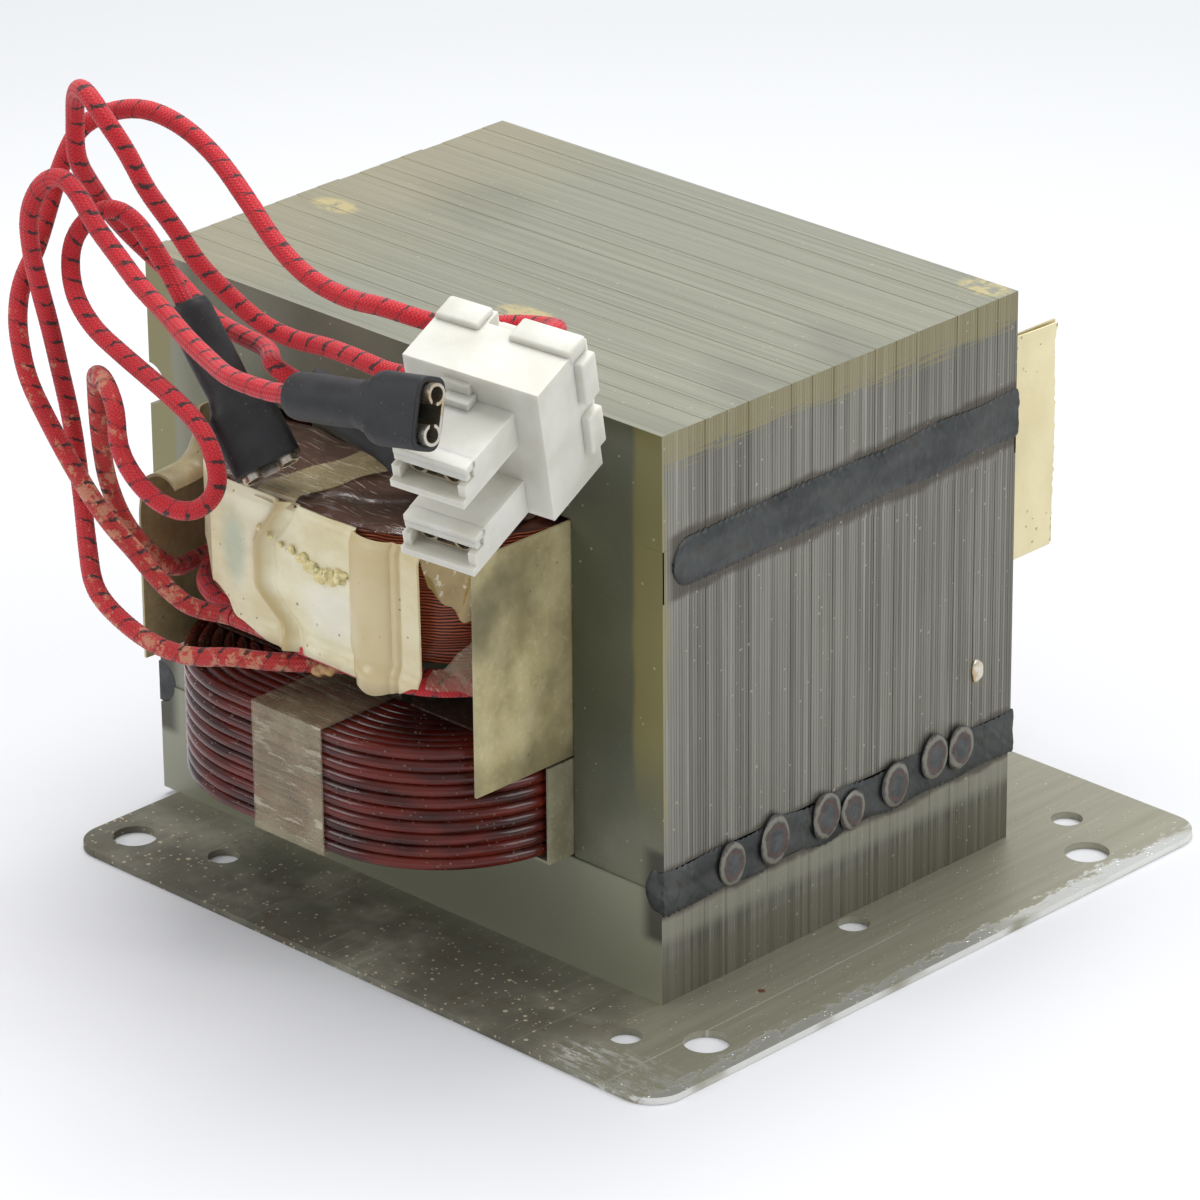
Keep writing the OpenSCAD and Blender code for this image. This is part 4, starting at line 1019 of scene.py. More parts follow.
@dataclass
class BraidedTube:
    """Braided lead as a tube with the relief of its carriers."""

    name: str
    line: list[Vector]
    stains: tuple[Stain, ...] = ()
    diameter: float = 2.5
    sides: int = 28
    pitch: float = 0.3
    relief: float = 0.045
    carriers: int = 8
    cell: float = 0.72

    def ridge(self, along: float, around: float) -> float:
        """Height of the braid from 0 to 1 at a length and a share of the turn."""
        first, second = around * self.carriers + along / self.cell, around * self.carriers - along / self.cell
        over = (math.floor(first) + math.floor(second)) % 2
        return math.sin(math.pi * ((second if over else first) % 1.0))

    def build(self) -> bpy.types.Object:
        """Build the tube, its map and its stain."""
        rings, count = self.line, len(self.line)
        directions = [(rings[min(i + 1, count - 1)] - rings[max(i - 1, 0)]).normalized()
                      for i in range(count)]
        side = Vector((0, 0, 1)) if abs(directions[0].z) < 0.9 else Vector((1, 0, 0))
        points, lengths, walked = [], [], 0.0
        swell = wave(len(self.name), 5, 0.02, 0.09)
        for i, (centre, ahead) in enumerate(zip(rings, directions)):
            side = (side - side.dot(ahead) * ahead).normalized()
            across = ahead.cross(side)
            walked += (centre - rings[i - 1]).length if i else 0.0
            lengths.append(walked)
            for k in range(self.sides):
                share = k / self.sides
                radius = (self.diameter / 2 * (1 + 0.02 * swell(walked))
                          + self.relief * (self.ridge(walked, share) - 0.6))
                angle = math.tau * share
                points.append((centre + radius * (math.cos(angle) * side + math.sin(angle) * across)) * MM)
        faces = [(i * self.sides + k, i * self.sides + (k + 1) % self.sides,
                  (i + 1) * self.sides + (k + 1) % self.sides,
                  (i + 1) * self.sides + k) for i in range(count - 1) for k in range(self.sides)]
        walls = len(faces)
        faces += [tuple(range(self.sides - 1, -1, -1)),
                  tuple(range((count - 1) * self.sides, count * self.sides))]
        mesh = bpy.data.meshes.new(self.name)
        mesh.from_pydata(points, [], faces)
        layer = mesh.uv_layers.new(name="UVMap").data
        for face in mesh.polygons[:walls]:
            i, k = divmod(face.index, self.sides)
            corners = ((i, k), (i, k + 1), (i + 1, k + 1), (i + 1, k))
            for loop, (ring, turn) in zip(face.loop_indices, corners):
                layer[loop].uv = (lengths[ring] / 10, turn / self.sides)
        stain = mesh.attributes.new("stain", "FLOAT", "POINT").data
        for i in range(count):
            amount = min(1.0, sum(s.at(lengths[i]) for s in self.stains))
            for k in range(self.sides):
                stain[i * self.sides + k].value = amount
        mesh.validate()
        piece = bpy.data.objects.new(self.name, mesh)
        bpy.context.scene.collection.objects.link(piece)
        for face in mesh.polygons:
            face.use_smooth = True
        return piece

    def length(self) -> float:
        """Length of the lead in metres."""
        return sum((b - a).length for a, b in zip(self.line, self.line[1:])) * MM


@dataclass
class Leads:
    """The four braided leads and the filament turns they come from."""

    plate_t: float = 1.0
    diameter: float = 2.5
    conn_at: Point = (35, -49, 86)
    conn_turn: Point = (18.5, 5, 13.5)
    way_x: float = 0.6
    way_z: tuple[float, float] = (3.1, -8.1)
    entry_y: float = 7.9
    sleeve_front: tuple[Point, Point] = ((19, -69, 89), (-20, -10, 0))
    sleeve_left: tuple[Point, Point] = ((-20, -52, 85.5), (-54, 47.5, -4))
    sleeve_back: tuple[Point, Point] = ((-2, -48, 78), (80, 26, 22))
    filament_half_w: float = 29.35
    filament_half_d: float = 53.25
    filament_r: float = 14.0
    filament_z: float = 44.3
    filament_pitch: float = 2.7
    filament_dive: float = 2.7
    lap: int = 24
    upper_route: tuple = (
        (-13.5, -53.5, 43.2), (-17, -56, 44), (-21, -57.5, 47), (-24.5, -58.5, 50.5), (-27.5, -60, 54),
        (-31, -61, 58.5), (-34, -61.5, 62.5), (-37, -62, 67), (-39.5, -62.5, 71.5), (-41.5, -62, 75.5),
        (-42.5, -61.5, 79.5), (-43, -60, 84), (-42, -58, 88.5), (-41, -56.5, 94), (-40, -55, 99.5),
        (-38, -53.5, 104.5), (-34, -52, 107.5), (-28.5, -50.5, 109), (-22.5, -49.5, 108), (-16.5, -49, 105),
        (-10.5, -49.5, 101), (-4.5, -50, 96.5), (1.5, -50, 93.5), (7.5, -49, 92), (12.5, -48, 92),
        (16.5, -46, 91), (19, -42.5, 89.5), (21.5, -38.5, 89), (25, -36, 89.5), (29, -35, 90),
        (32.5, -36.5, 91))
    front_route: tuple = (
        (11, -46.5, 42.3), (6, -48.5, 40.4), (0.5, -52.5, 40.2), (-3, -56, 40.5), (-6, -58.5, 41),
        (-11, -61.5, 40.5), (-16, -63.5, 41.5), (-22, -64, 43.5), (-27, -63.5, 46), (-31, -61, 49.5),
        (-34.5, -58.5, 54), (-37, -57, 59.5), (-38, -57, 65.5), (-39, -57.5, 71.5), (-39, -59, 78.5),
        (-39, -60.5, 84.5), (-38.5, -62, 90), (-37.5, -63, 95.5), (-35.5, -62.5, 100), (-32, -62, 102),
        (-28, -62.5, 100.5), (-24.5, -63, 97.5), (-20.5, -63, 94.5), (-15.5, -63.5, 91.5), (-10.5, -64, 89.5),
        (-5, -65.5, 88), (1, -67, 87), (7, -69, 87))
    left_route: tuple = (
        (-29.2, -42, 43.3), (-28.5, -45.5, 43.6), (-27, -49.5, 44.5), (-27.8, -53.5, 48), (-30, -55.5, 52.5),
        (-31.5, -56.5, 57.5), (-32, -57, 62.5), (-32.5, -57, 67.5), (-32, -57.5, 71.5), (-29.5, -59.5, 74.5),
        (-25.5, -61.5, 75), (-22, -63, 72.5), (-20.5, -64, 68), (-16.5, -64.5, 64.5), (-12, -63.8, 62.2),
        (-8, -62.2, 62.3), (-5.6, -60.6, 65.6), (-6.8, -60.1, 70), (-10.2, -59.4, 72.9), (-14.9, -59.1, 74.9),
        (-21, -58.5, 76.5), (-26.5, -58.5, 78.5), (-31, -58.5, 80.5), (-35, -58, 84), (-36.5, -57, 89),
        (-35, -56, 93), (-32, -54, 95.5), (-28.5, -53, 94.5), (-25.5, -52.5, 91.5))
    jumper_route: tuple = (
        (32, -36, 81.3), (29.5, -33.5, 83), (25.5, -34, 83.8), (22, -37, 83.5), (19.5, -41, 83),
        (16.5, -44.5, 82.5), (12.5, -46.5, 82.5), (7.5, -47, 83), (1, -47, 83), (-4, -48, 83),
        (-8.5, -49.5, 84.5), (-12.5, -51, 87.5), (-16, -53, 91.5), (-18.5, -54.5, 96), (-21, -57, 101.5),
        (-22.5, -59, 107), (-25, -60.5, 111.5), (-29, -60, 114), (-33, -58, 112), (-34.5, -57, 107.5),
        (-34.5, -57, 102.5), (-35, -54, 97.5), (-36, -50.5, 93), (-35.5, -47, 88.5), (-32.5, -44.5, 84.5),
        (-28, -44, 81.5), (-23, -44.5, 79.5), (-17, -45, 79), (-11, -46, 79))
    pieces: dict[str, bpy.types.Object] = field(default_factory=dict)

    def lap_points(self, half_w: float, half_d: float, r: float) -> list[tuple[float, float]]:
        """One lap of a rounded rectangle, from the middle of its front."""
        lap = [(0.0, -half_d), (half_w - r, -half_d)]
        for cx, cy, start, after in ((half_w - r, r - half_d, -90, ((half_w, 0.0), (half_w, half_d - r))),
                                     (half_w - r, half_d - r, 0, ((0.0, half_d), (r - half_w, half_d))),
                                     (r - half_w, half_d - r, 90, ((-half_w, 0.0), (-half_w, r - half_d))),
                                     (r - half_w, r - half_d, 180, ())):
            lap += [(cx + r * math.cos(math.radians(start + 22.5 * k)),
                     cy + r * math.sin(math.radians(start + 22.5 * k)))
                    for k in range(1, 5)]
            lap += list(after)
        return lap

    def filament_path(self) -> list[Vector]:
        """Route of the two filament turns, side by side, with the dip at their crossing."""
        path = [Vector((-11.0, -self.filament_half_d, self.filament_z))]
        for i in range(44):
            f = i / self.lap
            inset = self.filament_pitch * (ramp(f, 0.42, 0.6) - ramp(f, 1.45, 1.6))
            dip = self.filament_dive * (ramp(f, 1.3, 1.43) - ramp(f, 1.57, 1.68))
            px, py = self.lap_points(self.filament_half_w - inset, self.filament_half_d - inset,
                                     self.filament_r - inset)[i % self.lap]
            path.append(Vector((px, py, self.filament_z - dip)))
        return path

    def lifted(self, route: Iterable[Point]) -> list[Vector]:
        """Route points raised by the plate's thickness."""
        return [Vector((x, y, z + self.plate_t)) for x, y, z in route]

    def way(self, index: int, out: float) -> Vector:
        """Point on the axis of a connector's way, a distance out of its wire entry."""
        return placed(self.conn_at, self.conn_turn, (self.way_x, self.entry_y + out, self.way_z[index]))

    def entry(self, sleeve: tuple[Point, Point], out: float) -> Vector:
        """Point on the axis of a sleeve, a distance out of its wire end."""
        return placed(sleeve[0], sleeve[1], (-out, 0, 0))

    def lead(self, name: str, node: str, route: list[Vector], stains: tuple[Stain, ...],
             material: bpy.types.Material) -> None:
        """Args:
            name: Name of the piece.
            node: Node that it replaces.
            route: Route points in millimetres.
            stains: Dusty stretches.
            material: Braid material.
        """
        line = eased(evenly(curve_through(route), 0.3), 34)
        tube = BraidedTube(name, evenly(line, 0.3), stains)
        piece = dress(tube.build(), material)
        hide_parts(node)
        round(tube.length(), 4)
        self.pieces[name] = piece

    def build(self, material: bpy.types.Material) -> None:
        """Make the filament turns and the four leads."""
        path = self.filament_path()
        turns = BraidedTube("filament_turns", evenly(curve_through(path, 8), 0.34),
                            (Stain(0, 8, 0.5), Stain(300, 420, 0.4)), sides=24)
        piece = dress(turns.build(), material)
        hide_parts("filament_winding")
        start, end = path[0] - Vector((0.2, 0, 0)), path[-1] - Vector((0, 0.2, 0))
        self.lead("braid_upper", "lead_connector_upper",
                  [start, *self.lifted(self.upper_route), self.way(0, 4), self.way(0, -1.5)],
                  (Stain(0, 26, 0.75), Stain(26, 70, 0.35)),
                  material)
        self.lead("braid_front", "lead_sleeve_front",
                  [Vector((16, -46.5, 44.85)), *self.lifted(self.front_route),
                   *(self.entry(self.sleeve_front, out) for out in (5, 1.5, -1.5))],
                  (Stain(14, 34, 0.75), Stain(36, 84, 0.35)),
                  material)
        self.lead("braid_left", "lead_sleeve_left",
                  [end, *self.lifted(self.left_route),
                   *(self.entry(self.sleeve_left, out) for out in (5, 1.5, -1.5))],
                  (Stain(0, 47, 0.9), Stain(47, 62, 0.3)), material)
        self.lead("braid_jumper", "lead_jumper",
                  [self.way(1, -1.5), self.way(1, 1), *self.lifted(self.jumper_route),
                   *(self.entry(self.sleeve_back, out) for out in (5, 1.5, -1.5))],
                  (), material)


def repaint(nodes: Iterable[str], material: bpy.types.Material) -> None:
    """Give fixed nodes a better material."""
    for name in nodes:
        data = bpy.data.objects[name].data
        data.materials.clear()
        data.materials.append(material)


# ---------------------------------------------------------------- welds


@dataclass(frozen=True)
class RingedNugget(Finish):
    """Spot of melted steel with a pale rim and a rusty ring."""

    def build(self) -> bpy.types.Material:
        """Build the material; the mesh stores the share of the radius as ring."""
        g = Graph(self.name)
        ring = g.plus(g.attribute("ring"), g.times(g.math("SUBTRACT", g.noise(1.2, 4, 0.65), 0.5), 0.24))
        skin = g.noise(1.5, 4, 0.65, (1, 1, 1), 4.0)
        colour = g.blend(g.step(skin, 0.3, 0.7), srgb(58, 61, 62), srgb(84, 87, 86))
        colour = g.blend(g.times(g.near(ring, 0.64, 0.05, 0.1), 0.45), colour, srgb(104, 64, 48))
        colour = g.blend(g.times(g.near(ring, 0.86, 0.03, 0.07), 0.7), colour, srgb(140, 134, 120))
        colour = g.blend(g.step(ring, 0.93, 1.02), colour, srgb(66, 58, 48))
        return g.finish(Base_Color=colour, Metallic=0.35, Roughness=0.42, Normal=g.bump(skin, 0.12, 0.6))


@dataclass
class Welds:
    """Weld beads on the core's right side, with their scorched ends and spots."""

    face_x: float = 48.05
    half_depth: float = 34.0
    bead_z: float = 63.1
    bead_half: float = 3.4
    bead_start: float = -32.2
    seam_z: float = 16.9
    seam_half: float = 3.1
    groove_x: float = 44.4
    groove_z: float = 57.9
    groove_height: float = 7.2
    skin: float = 0.02
    corner_at: Point = (46.4, -32.4, 16.8)
    corner_size: Point = (4.9, 5.4, 10.2)
    spot_aspect: float = 1.3
    dot_at: Point = (48.05, 26.9, 28.3)
    dot_size: Point = (0.45, 1.15, 1.75)
    nuggets: tuple = ((-21.7, 17.2, 2.3), (-13.5, 17.7, 2.6), (-3.5, 17.7, 2.5), (1.6, 16.7, 2.1),
                      (10.1, 17.4, 2.4), (17.9, 18.8, 2.4), (23.2, 18.4, 2.3))

    def strip(self, name: str, centre: Callable[[float], float], half: Callable[[float], float], start: float,
              end: float, crown: float, seed: int) -> bpy.types.Object:
        """Bead that stands proud of the side, with beaded edges.

        Args:
            name: Name of the piece.
            centre: Height of its middle at a depth.
            half: Half its width at a depth.
            start: Depth where it starts.
            end: Depth where it ends.
            crown: How far it stands out.
            seed: Seed of its ripples.

        Returns:
            The bead.
        """
        slow, fast, rib = wave(seed, 6, 0.05, 0.16), wave(seed + 1, 8, 0.3, 0.9), wave(seed + 2, 6, 0.5, 1.1)

        def place(u: float, v: float) -> Point:
            """Point of the bead's skin."""
            y, t = start + (end - start) * u, 2 * v - 1
            body = 1 - abs(t) ** 3
            lip = math.exp(-((abs(t) - 0.86) / 0.09) ** 2)
            out = crown * body + 0.07 * body * fast(y + 3 * t) + 0.16 * lip * abs(rib(y * 1.7 + 9 * (t > 0)))
            out -= 0.3 * math.exp(-((t - 0.15 * slow(y)) / 0.5) ** 2)
            return (self.face_x + out, y, centre(y) + half(y) * t * (1 + 0.05 * rib(y * 1.3)))

        piece = grid(name, 300, 22, place)
        close(piece, 1.0, -1.0, 60)
        return piece

    def upper_bead(self, metal: bpy.types.Material, sheets: bpy.types.Material) -> None:
        """Bead along the upper side, over the sheets' edges."""
        wander, breadth = wave(31, 5, 0.012, 0.03), wave(37, 5, 0.03, 0.08)

        def half(y: float) -> float:
            """Half width, round at the front end."""
            end = max(0.02, min(1.0, (y - self.bead_start) / 3.2))
            return (self.bead_half + 0.25 * breadth(y)) * math.sqrt(1 - (1 - end) ** 2)

        bead = self.strip("upper_bead_right", lambda y: self.bead_z + 0.012 * y + 0.45 * wander(y), half,
                          self.bead_start, self.half_depth + 0.15, 0.55, 5)
        dress(bead, metal)
        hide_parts("upper_weld_right")
        self.groove_patches(sheets)

    def groove_patches(self, sheets: bpy.types.Material) -> None:
        """Thin patches over the open groove beside the upper bead: its face and its two ends."""
        face, end = self.face_x - self.skin, self.half_depth + self.skin

        def side(u: float, v: float) -> Point:
            """Point of the patch on the core's side."""
            return (face, self.half_depth * (2 * u - 1), self.groove_z + self.groove_height * v)

        def across(y: float) -> Callable[[float, float], Point]:
            """Surface of a patch across one end of the groove."""
            return lambda u, v: (self.groove_x + (face - self.groove_x) * u, y,
                                 self.groove_z + self.groove_height * v)

        for name, columns, place, wall, offset in (("upper_joint_face", 68, side, 0.6, -1.0),
                                                   ("upper_joint_front", 2, across(-end), 0.3, -1.0),
                                                   ("upper_joint_rear", 2, across(end), 0.3, 1.0)):
            patch = grid(name, columns, 2, place)
            thicken(patch, wall, offset)
            face_out(patch)
            dress(patch, sheets)

    def seam_bead(self, metal: bpy.types.Material) -> None:
        """Seam bead between the two stacks."""
        breadth = wave(51, 5, 0.03, 0.09)
        bead = self.strip("seam_bead_right", lambda y: self.seam_z + 0.3 * breadth(y + 9),
                          lambda y: self.seam_half + 0.25 * breadth(y), -self.half_depth - 0.2,
                          self.half_depth + 0.4, 0.35, 61)
        dress(bead, metal)
        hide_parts("seam_weld_right")

    def seam_corner(self, metal: bpy.types.Material) -> None:
        """Melted corner at the seam's front end."""
        deselect()
        bpy.ops.mesh.primitive_cube_add(size=1, location=tuple(side * MM for side in self.corner_at))
        corner = bpy.context.object
        corner.name = "seam_corner_melt"
        corner.scale = tuple(side * MM for side in self.corner_size)
        settle(corner)
        modify(corner, "SUBSURF", levels=4, render_levels=4)
        melt = wave(71, 6, 0.1, 0.4)
        for vertex in corner.data.vertices:
            z = vertex.co.z / MM
            narrow = 1 - 0.5 * ramp(z, 16.0, 11.0)
            vertex.co.x = (48.4 - (48.4 - vertex.co.x / MM) * narrow + 0.12 * melt(z)) * MM
            vertex.co.y = (-34.6 + (vertex.co.y / MM + 34.6) * narrow - 0.12 * melt(z + 4)) * MM
        soften(corner, 60)
        dress(corner, metal)

    def spot(self, number: int, middle: tuple[float, float], radius: float,
             material: bpy.types.Material) -> None:
        """Ringed spot of melted steel on the seam.

        Args:
            number: Its place in the row, from 0.
            middle: Depth and height of its middle in millimetres.
            radius: Half its width in millimetres.
            material: Material of the spot.
        """
        y, z = middle
        shape = wave(80 + number, 4, 1, 4)

        def place(u: float, share: float) -> Point:
            """Point of the spot: a low dome with a raised rim."""
            angle = math.tau * u
            reach = share * (1 + 0.07 * shape(round(u, 4) % 1))
            out = 0.2 * (1 - share ** 6) + 0.12 * math.exp(-((share - 0.82) / 0.09) ** 2)
            return (self.face_x + 0.15 + out, y + radius * reach * math.cos(angle),
                    z + radius * self.spot_aspect * reach * math.sin(angle))

        piece = grid(f"seam_spot_{number + 1}", 44, 12, place)
        ring = piece.data.attributes.new("ring", "FLOAT", "POINT").data
        for vertex in piece.data.vertices:
            _, across, up = vertex.co / MM
            ring[vertex.index].value = min(1.0, math.hypot(across - y, (up - z) / self.spot_aspect) / radius)
        merge(piece, 0.00001)
        close(piece, 0.5, -1.0, 60)
        dress(piece, material)

    def solder_dot(self, material: bpy.types.Material) -> None:
        """Small bright dot of solder near the rear of the side."""
        deselect()
        bpy.ops.mesh.primitive_uv_sphere_add(segments=32, ring_count=16, radius=1.0, location=(0, 0, 0))
        dot = bpy.context.object
        dot.name = "solder_dot"
        dot.scale = tuple(side * MM for side in self.dot_size)
        dot.location = tuple(side * MM for side in self.dot_at)
        settle(dot)
        bend = wave(91, 5, 0.2, 0.8)
        for vertex in dot.data.vertices:
            vertex.co.y += 0.12 * MM * bend(vertex.co.z / MM)
            vertex.co.x += 0.06 * MM * bend(vertex.co.y / MM * 2)
        soften(dot, 60)
        dress(dot, material)

    def build(self, sheets: bpy.types.Material) -> None:
        """Make the right side's welds.

        Args:
            sheets: Material of the lamination stacks.
        """
        metal, ringed = WeldMetal("weld_metal").build(), RingedNugget("ringed_spot").build()
        self.upper_bead(metal, sheets)
        self.seam_bead(metal)
        self.seam_corner(metal)
        for number, (y, z, radius) in enumerate(self.nuggets):
            self.spot(number, (y, z), radius, ringed)
        repaint(("upper_weld_left", "seam_weld_left"), metal)
        self.solder_dot(TinPlate("bright_solder").build())


# ---------------------------------------------------------------- papers and films


@dataclass(frozen=True)
class WrapPaper(Paper):
    """Cream wrap with a blue-green stain and tan folds."""

    def build(self) -> bpy.types.Material:
        """Build the material; the mesh stores the folds as fold."""
        g = Graph(self.name)
        cloud = g.noise(8, 4, 0.6, (1.6, 1, 1), 3.0)
        fibre = g.noise(0.6, 4, 0.7, (1, 1, 1), 5.0)
        colour = g.blend(g.step(cloud, 0.3, 0.7), srgb(216, 202, 156), srgb(240, 233, 202))
        colour = g.blend(g.times(g.step(fibre, 0.5, 0.75), 0.14), colour, srgb(246, 242, 224))
        colour = g.blend(g.times(g.attribute("fold"), 0.85), colour, srgb(192, 168, 112))
        teal = g.spot((-9.8, -54, 55.0), 0.9, 2.2, (1.1, 1, 2.4))
        colour = g.blend(g.times(teal, 0.4), colour, srgb(120, 170, 160))
        pale = g.spot((8.5, -54, 51.0), 1.5, 4.5, (1.3, 1, 1.0))
        colour = g.blend(g.times(pale, 0.6), colour, srgb(236, 233, 220))
        low = g.step(g.plus(g.axis("Z"), g.times(cloud, 2.0)), 46.6, 44.4)
        colour = g.blend(g.times(low, 0.55), colour, srgb(140, 118, 82))
        specks = g.grains(0.6, 0.05, 4.0)
        colour = g.blend(g.times(specks, 0.6), colour, srgb(84, 66, 46))
        height = g.plus(g.times(fibre, 0.3), g.times(cloud, 0.7))
        return g.finish(Base_Color=colour, Roughness=0.3, Normal=g.bump(height, 0.14, 0.5),
                        Specular_IOR_Level=0.5, Subsurface_Weight=0.15, Subsurface_Radius=(1.0, 0.8, 0.5),
                        Subsurface_Scale=0.001, Coat_Weight=0.25, Coat_Roughness=0.2)


@dataclass
class Papers:
    """Wraps, flaps, films and varnish round the secondary."""

    wrap_left: tuple[float, float] = (-20.7, -49.5)
    wrap_turn: tuple[float, float] = (-14.4, -54.1)
    wrap_right: float = 24.3
    wrap_top: float = 64.1
    wrap_t: float = 0.35
    bare_x: float = 24.0
    bare_width: float = 7.2
    crumbs: tuple = (((-4.4, -54.4, 59.6), 0.5), ((-2.6, -54.6, 58.9), 0.6), ((-0.8, -54.4, 58.2), 0.6),
                     ((1.2, -54.3, 57.9), 0.7), ((3.2, -54.2, 57.4), 0.9), ((5.0, -54.2, 56.6), 1.2),
                     ((6.6, -54.2, 56.0), 1.3), ((8.2, -54.2, 56.2), 1.4), ((9.6, -54.2, 56.8), 1.2),
                     ((10.8, -54.2, 57.2), 0.8))
    glue: tuple = (((5.6, -52.5, 42.0), 1.2), ((6.6, -52.0, 42.8), 1.2), ((4.6, -53.2, 41.4), 0.9))

    def fold_x(self, z: float) -> float:
        """Where the first fold runs at a height."""
        return -4.8 + 3.9 * ramp(z, 57, 64) + 5.6 * ramp(z, 52, 45.5)

    def pleats(self, x: float, z: float) -> tuple[float, float]:
        """How far the paper stands out and how folded it is at a place."""
        from_fold = x - self.fold_x(z)
        ridge = (0.75 * math.exp(-((from_fold + 0.2) / 0.85) ** 2)
                 - 0.45 * math.exp(-((from_fold - 1.9) / 0.7) ** 2))
        left = 12.4 + 1.8 * ramp(z, 49, 44)
        share = min(max((x - left) / (20.0 - left), 0.0), 1.0)
        pleat = (1.5 * math.sin(math.pi * min(1.0, 0.12 + share)) ** 0.6 * ramp(x, left - 0.25, left + 0.15)
                 * ramp(x, 20.4, 19.4))
        groove = -0.5 * math.exp(-((x - 20.5) / 0.35) ** 2)
        colour = max(math.exp(-((from_fold + 0.1) / 1.1) ** 2),
                     ramp(x, left - 0.1, left + 0.3) * ramp(x, 20.9, 20.3) * 0.8, 0.45 * ramp(x, 20.4, 21.0))
        return ridge + pleat + groove, colour

    def wrap_bottom(self, x: float) -> float:
        """Height of the wrap's lower edge at a place along it."""
        edge = 44.0 + 3.4 * ramp(x, -8.5, -14.4) + 3.0 * ramp(x, -14.4, -20.0) + 1.6 * ramp(x, -2, -9)
        return edge - 0.9 * math.exp(-((x - 17.4) / 2.6) ** 2) + 1.6 * ramp(x, 20.5, 24.3)

    def front_wrap(self, material: bpy.types.Material) -> None:
        """Folded cream paper round the front end turn."""
        (lx, ly), (tx, ty) = self.wrap_left, self.wrap_turn
        first = math.hypot(tx - lx, ty - ly)
        total = first + self.wrap_right - tx
        drift = wave(11, 6, 0.02, 0.09)

        def place(u: float, v: float) -> Point:
            """Point of the paper."""
            s = u * total
            turn = ramp(s, first - 1.6, first + 1.6)
            x = lx + (tx - lx) * min(s, first) / first + max(0.0, s - first)
            y = ly + (ty - ly) * min(s, first) / first
            low = self.wrap_bottom(x)
            z = low + (self.wrap_top - low) * v
            out, _ = self.pleats(x, z)
            out *= ramp(x, tx, tx + 4)
            out += 0.18 * drift(x + 0.4 * z) + 0.75 * ramp(z, 47.4, 45.4) - 0.5 * ramp(z, 62.6, 64.1)
            return (x - (1 - turn) * out * 0.55, y - out * (0.75 + 0.25 * turn), z)

        piece = grid("front_wrap_paper", 260, 60, place)
        fold = piece.data.attributes.new("fold", "FLOAT", "POINT").data
        for vertex in piece.data.vertices:
            x, _, z = vertex.co / MM
            fold[vertex.index].value = min(1.0, self.pleats(x, z)[1]) * ramp(x, tx, tx + 2)
        close(piece, self.wrap_t, -1.0, 50)
        dress(piece, material)
        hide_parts("secondary_wrap_front")

    def lump(self, name: str, balls: Sequence[tuple[Point, float]], flat: Point, rough: float,
             material: bpy.types.Material, seed: int = 1) -> None:
        """Crumbly lump made of melted balls.

        Args:
            name: Name of the piece.
            balls: Places and radii in millimetres.
            flat: How much each ball is flattened along each axis.
            rough: Height of the crumbs in millimetres.
            material: Material of the lump.
            seed: Seed of the crumbs.
        """
        draw = random.Random(seed)
        parts = []
        for centre, radius in balls:
            deselect()
            bpy.ops.mesh.primitive_ico_sphere_add(subdivisions=3, radius=radius * MM,
                                                  location=Vector(centre) * MM)
            ball = bpy.context.object
            ball.scale = flat
            settle(ball)
            parts.append(ball)
        deselect()
        for part in parts:
            part.select_set(True)
        bpy.context.view_layer.objects.active = parts[0]
        if len(parts) > 1:
            bpy.ops.object.join()
        piece = bpy.context.object
        piece.name = name
        smallest = min(radius for _, radius in balls)
        modify(piece, "REMESH", mode="VOXEL", voxel_size=max(0.14, smallest * 0.28) * MM)
        waves = [(Vector((draw.uniform(-1, 1), draw.uniform(-1, 1), draw.uniform(-1, 1))).normalized(),
                  draw.uniform(1.2, 5.0), draw.uniform(0, math.tau)) for _ in range(14)]
        for vertex in piece.data.vertices:
            place = vertex.co / MM
            shift = sum(math.sin(place.dot(d) * f + a) / f for d, f, a in waves)
            vertex.co += vertex.normal * (rough * shift * 0.5 * MM)
        soften(piece, 60)
        dress(piece, material)

    def torn_film(self, amber: bpy.types.Material, clear: bpy.types.Material) -> None:
        """Film over the bare turns beside the wrap, torn at its lower edge."""
        hang, lobes = wave(21, 4, 0.3, 1.1), wave(22, 5, 0.9, 2.6)

        def upper(u: float, v: float) -> Point:
            """Point of the yellowed film above the bare turns."""
            x = self.bare_x + self.bare_width * u
            low = 58.6 - 3.6 * u - 1.0 * math.sin(math.pi * u) + 0.7 * lobes(u)
            z = 64.6 + (low - 64.6) * v
            y = -53.2 + 3.4 * u + 0.8 * math.sin(math.pi * u) * (1 - v) + 0.5 * hang(u * 2 + v) + 1.2 * v * v
            return (x, y, z)

        def lower(u: float, v: float) -> Point:
            """Point of the clear film below them."""
            x = self.bare_x + self.bare_width * u
            top = 47.6 + 5.0 * ramp(u, 0.25, 0.75) + 0.8 * lobes(u + 3)
            z = 44.9 + (top - 44.9) * v
            y = -52.6 + 3.4 * u + 0.5 * hang(u * 2 + v + 5) + 0.6 * v
            return (x, y, z)

        for name, place, material in (("torn_film_upper", upper, amber), ("torn_film_lower", lower, clear)):
            piece = grid(name, 60, 40, place)
            close(piece, 0.12, 0.0, 60)
            dress(piece, material)

    def top_film(self, film: bpy.types.Material, strip: bpy.types.Material) -> None:
        """Crumpled film over the front end turn, with a strip of tape across it."""
        crumple, small = wave(41, 7, 0.03, 0.12), wave(43, 8, 0.12, 0.4)

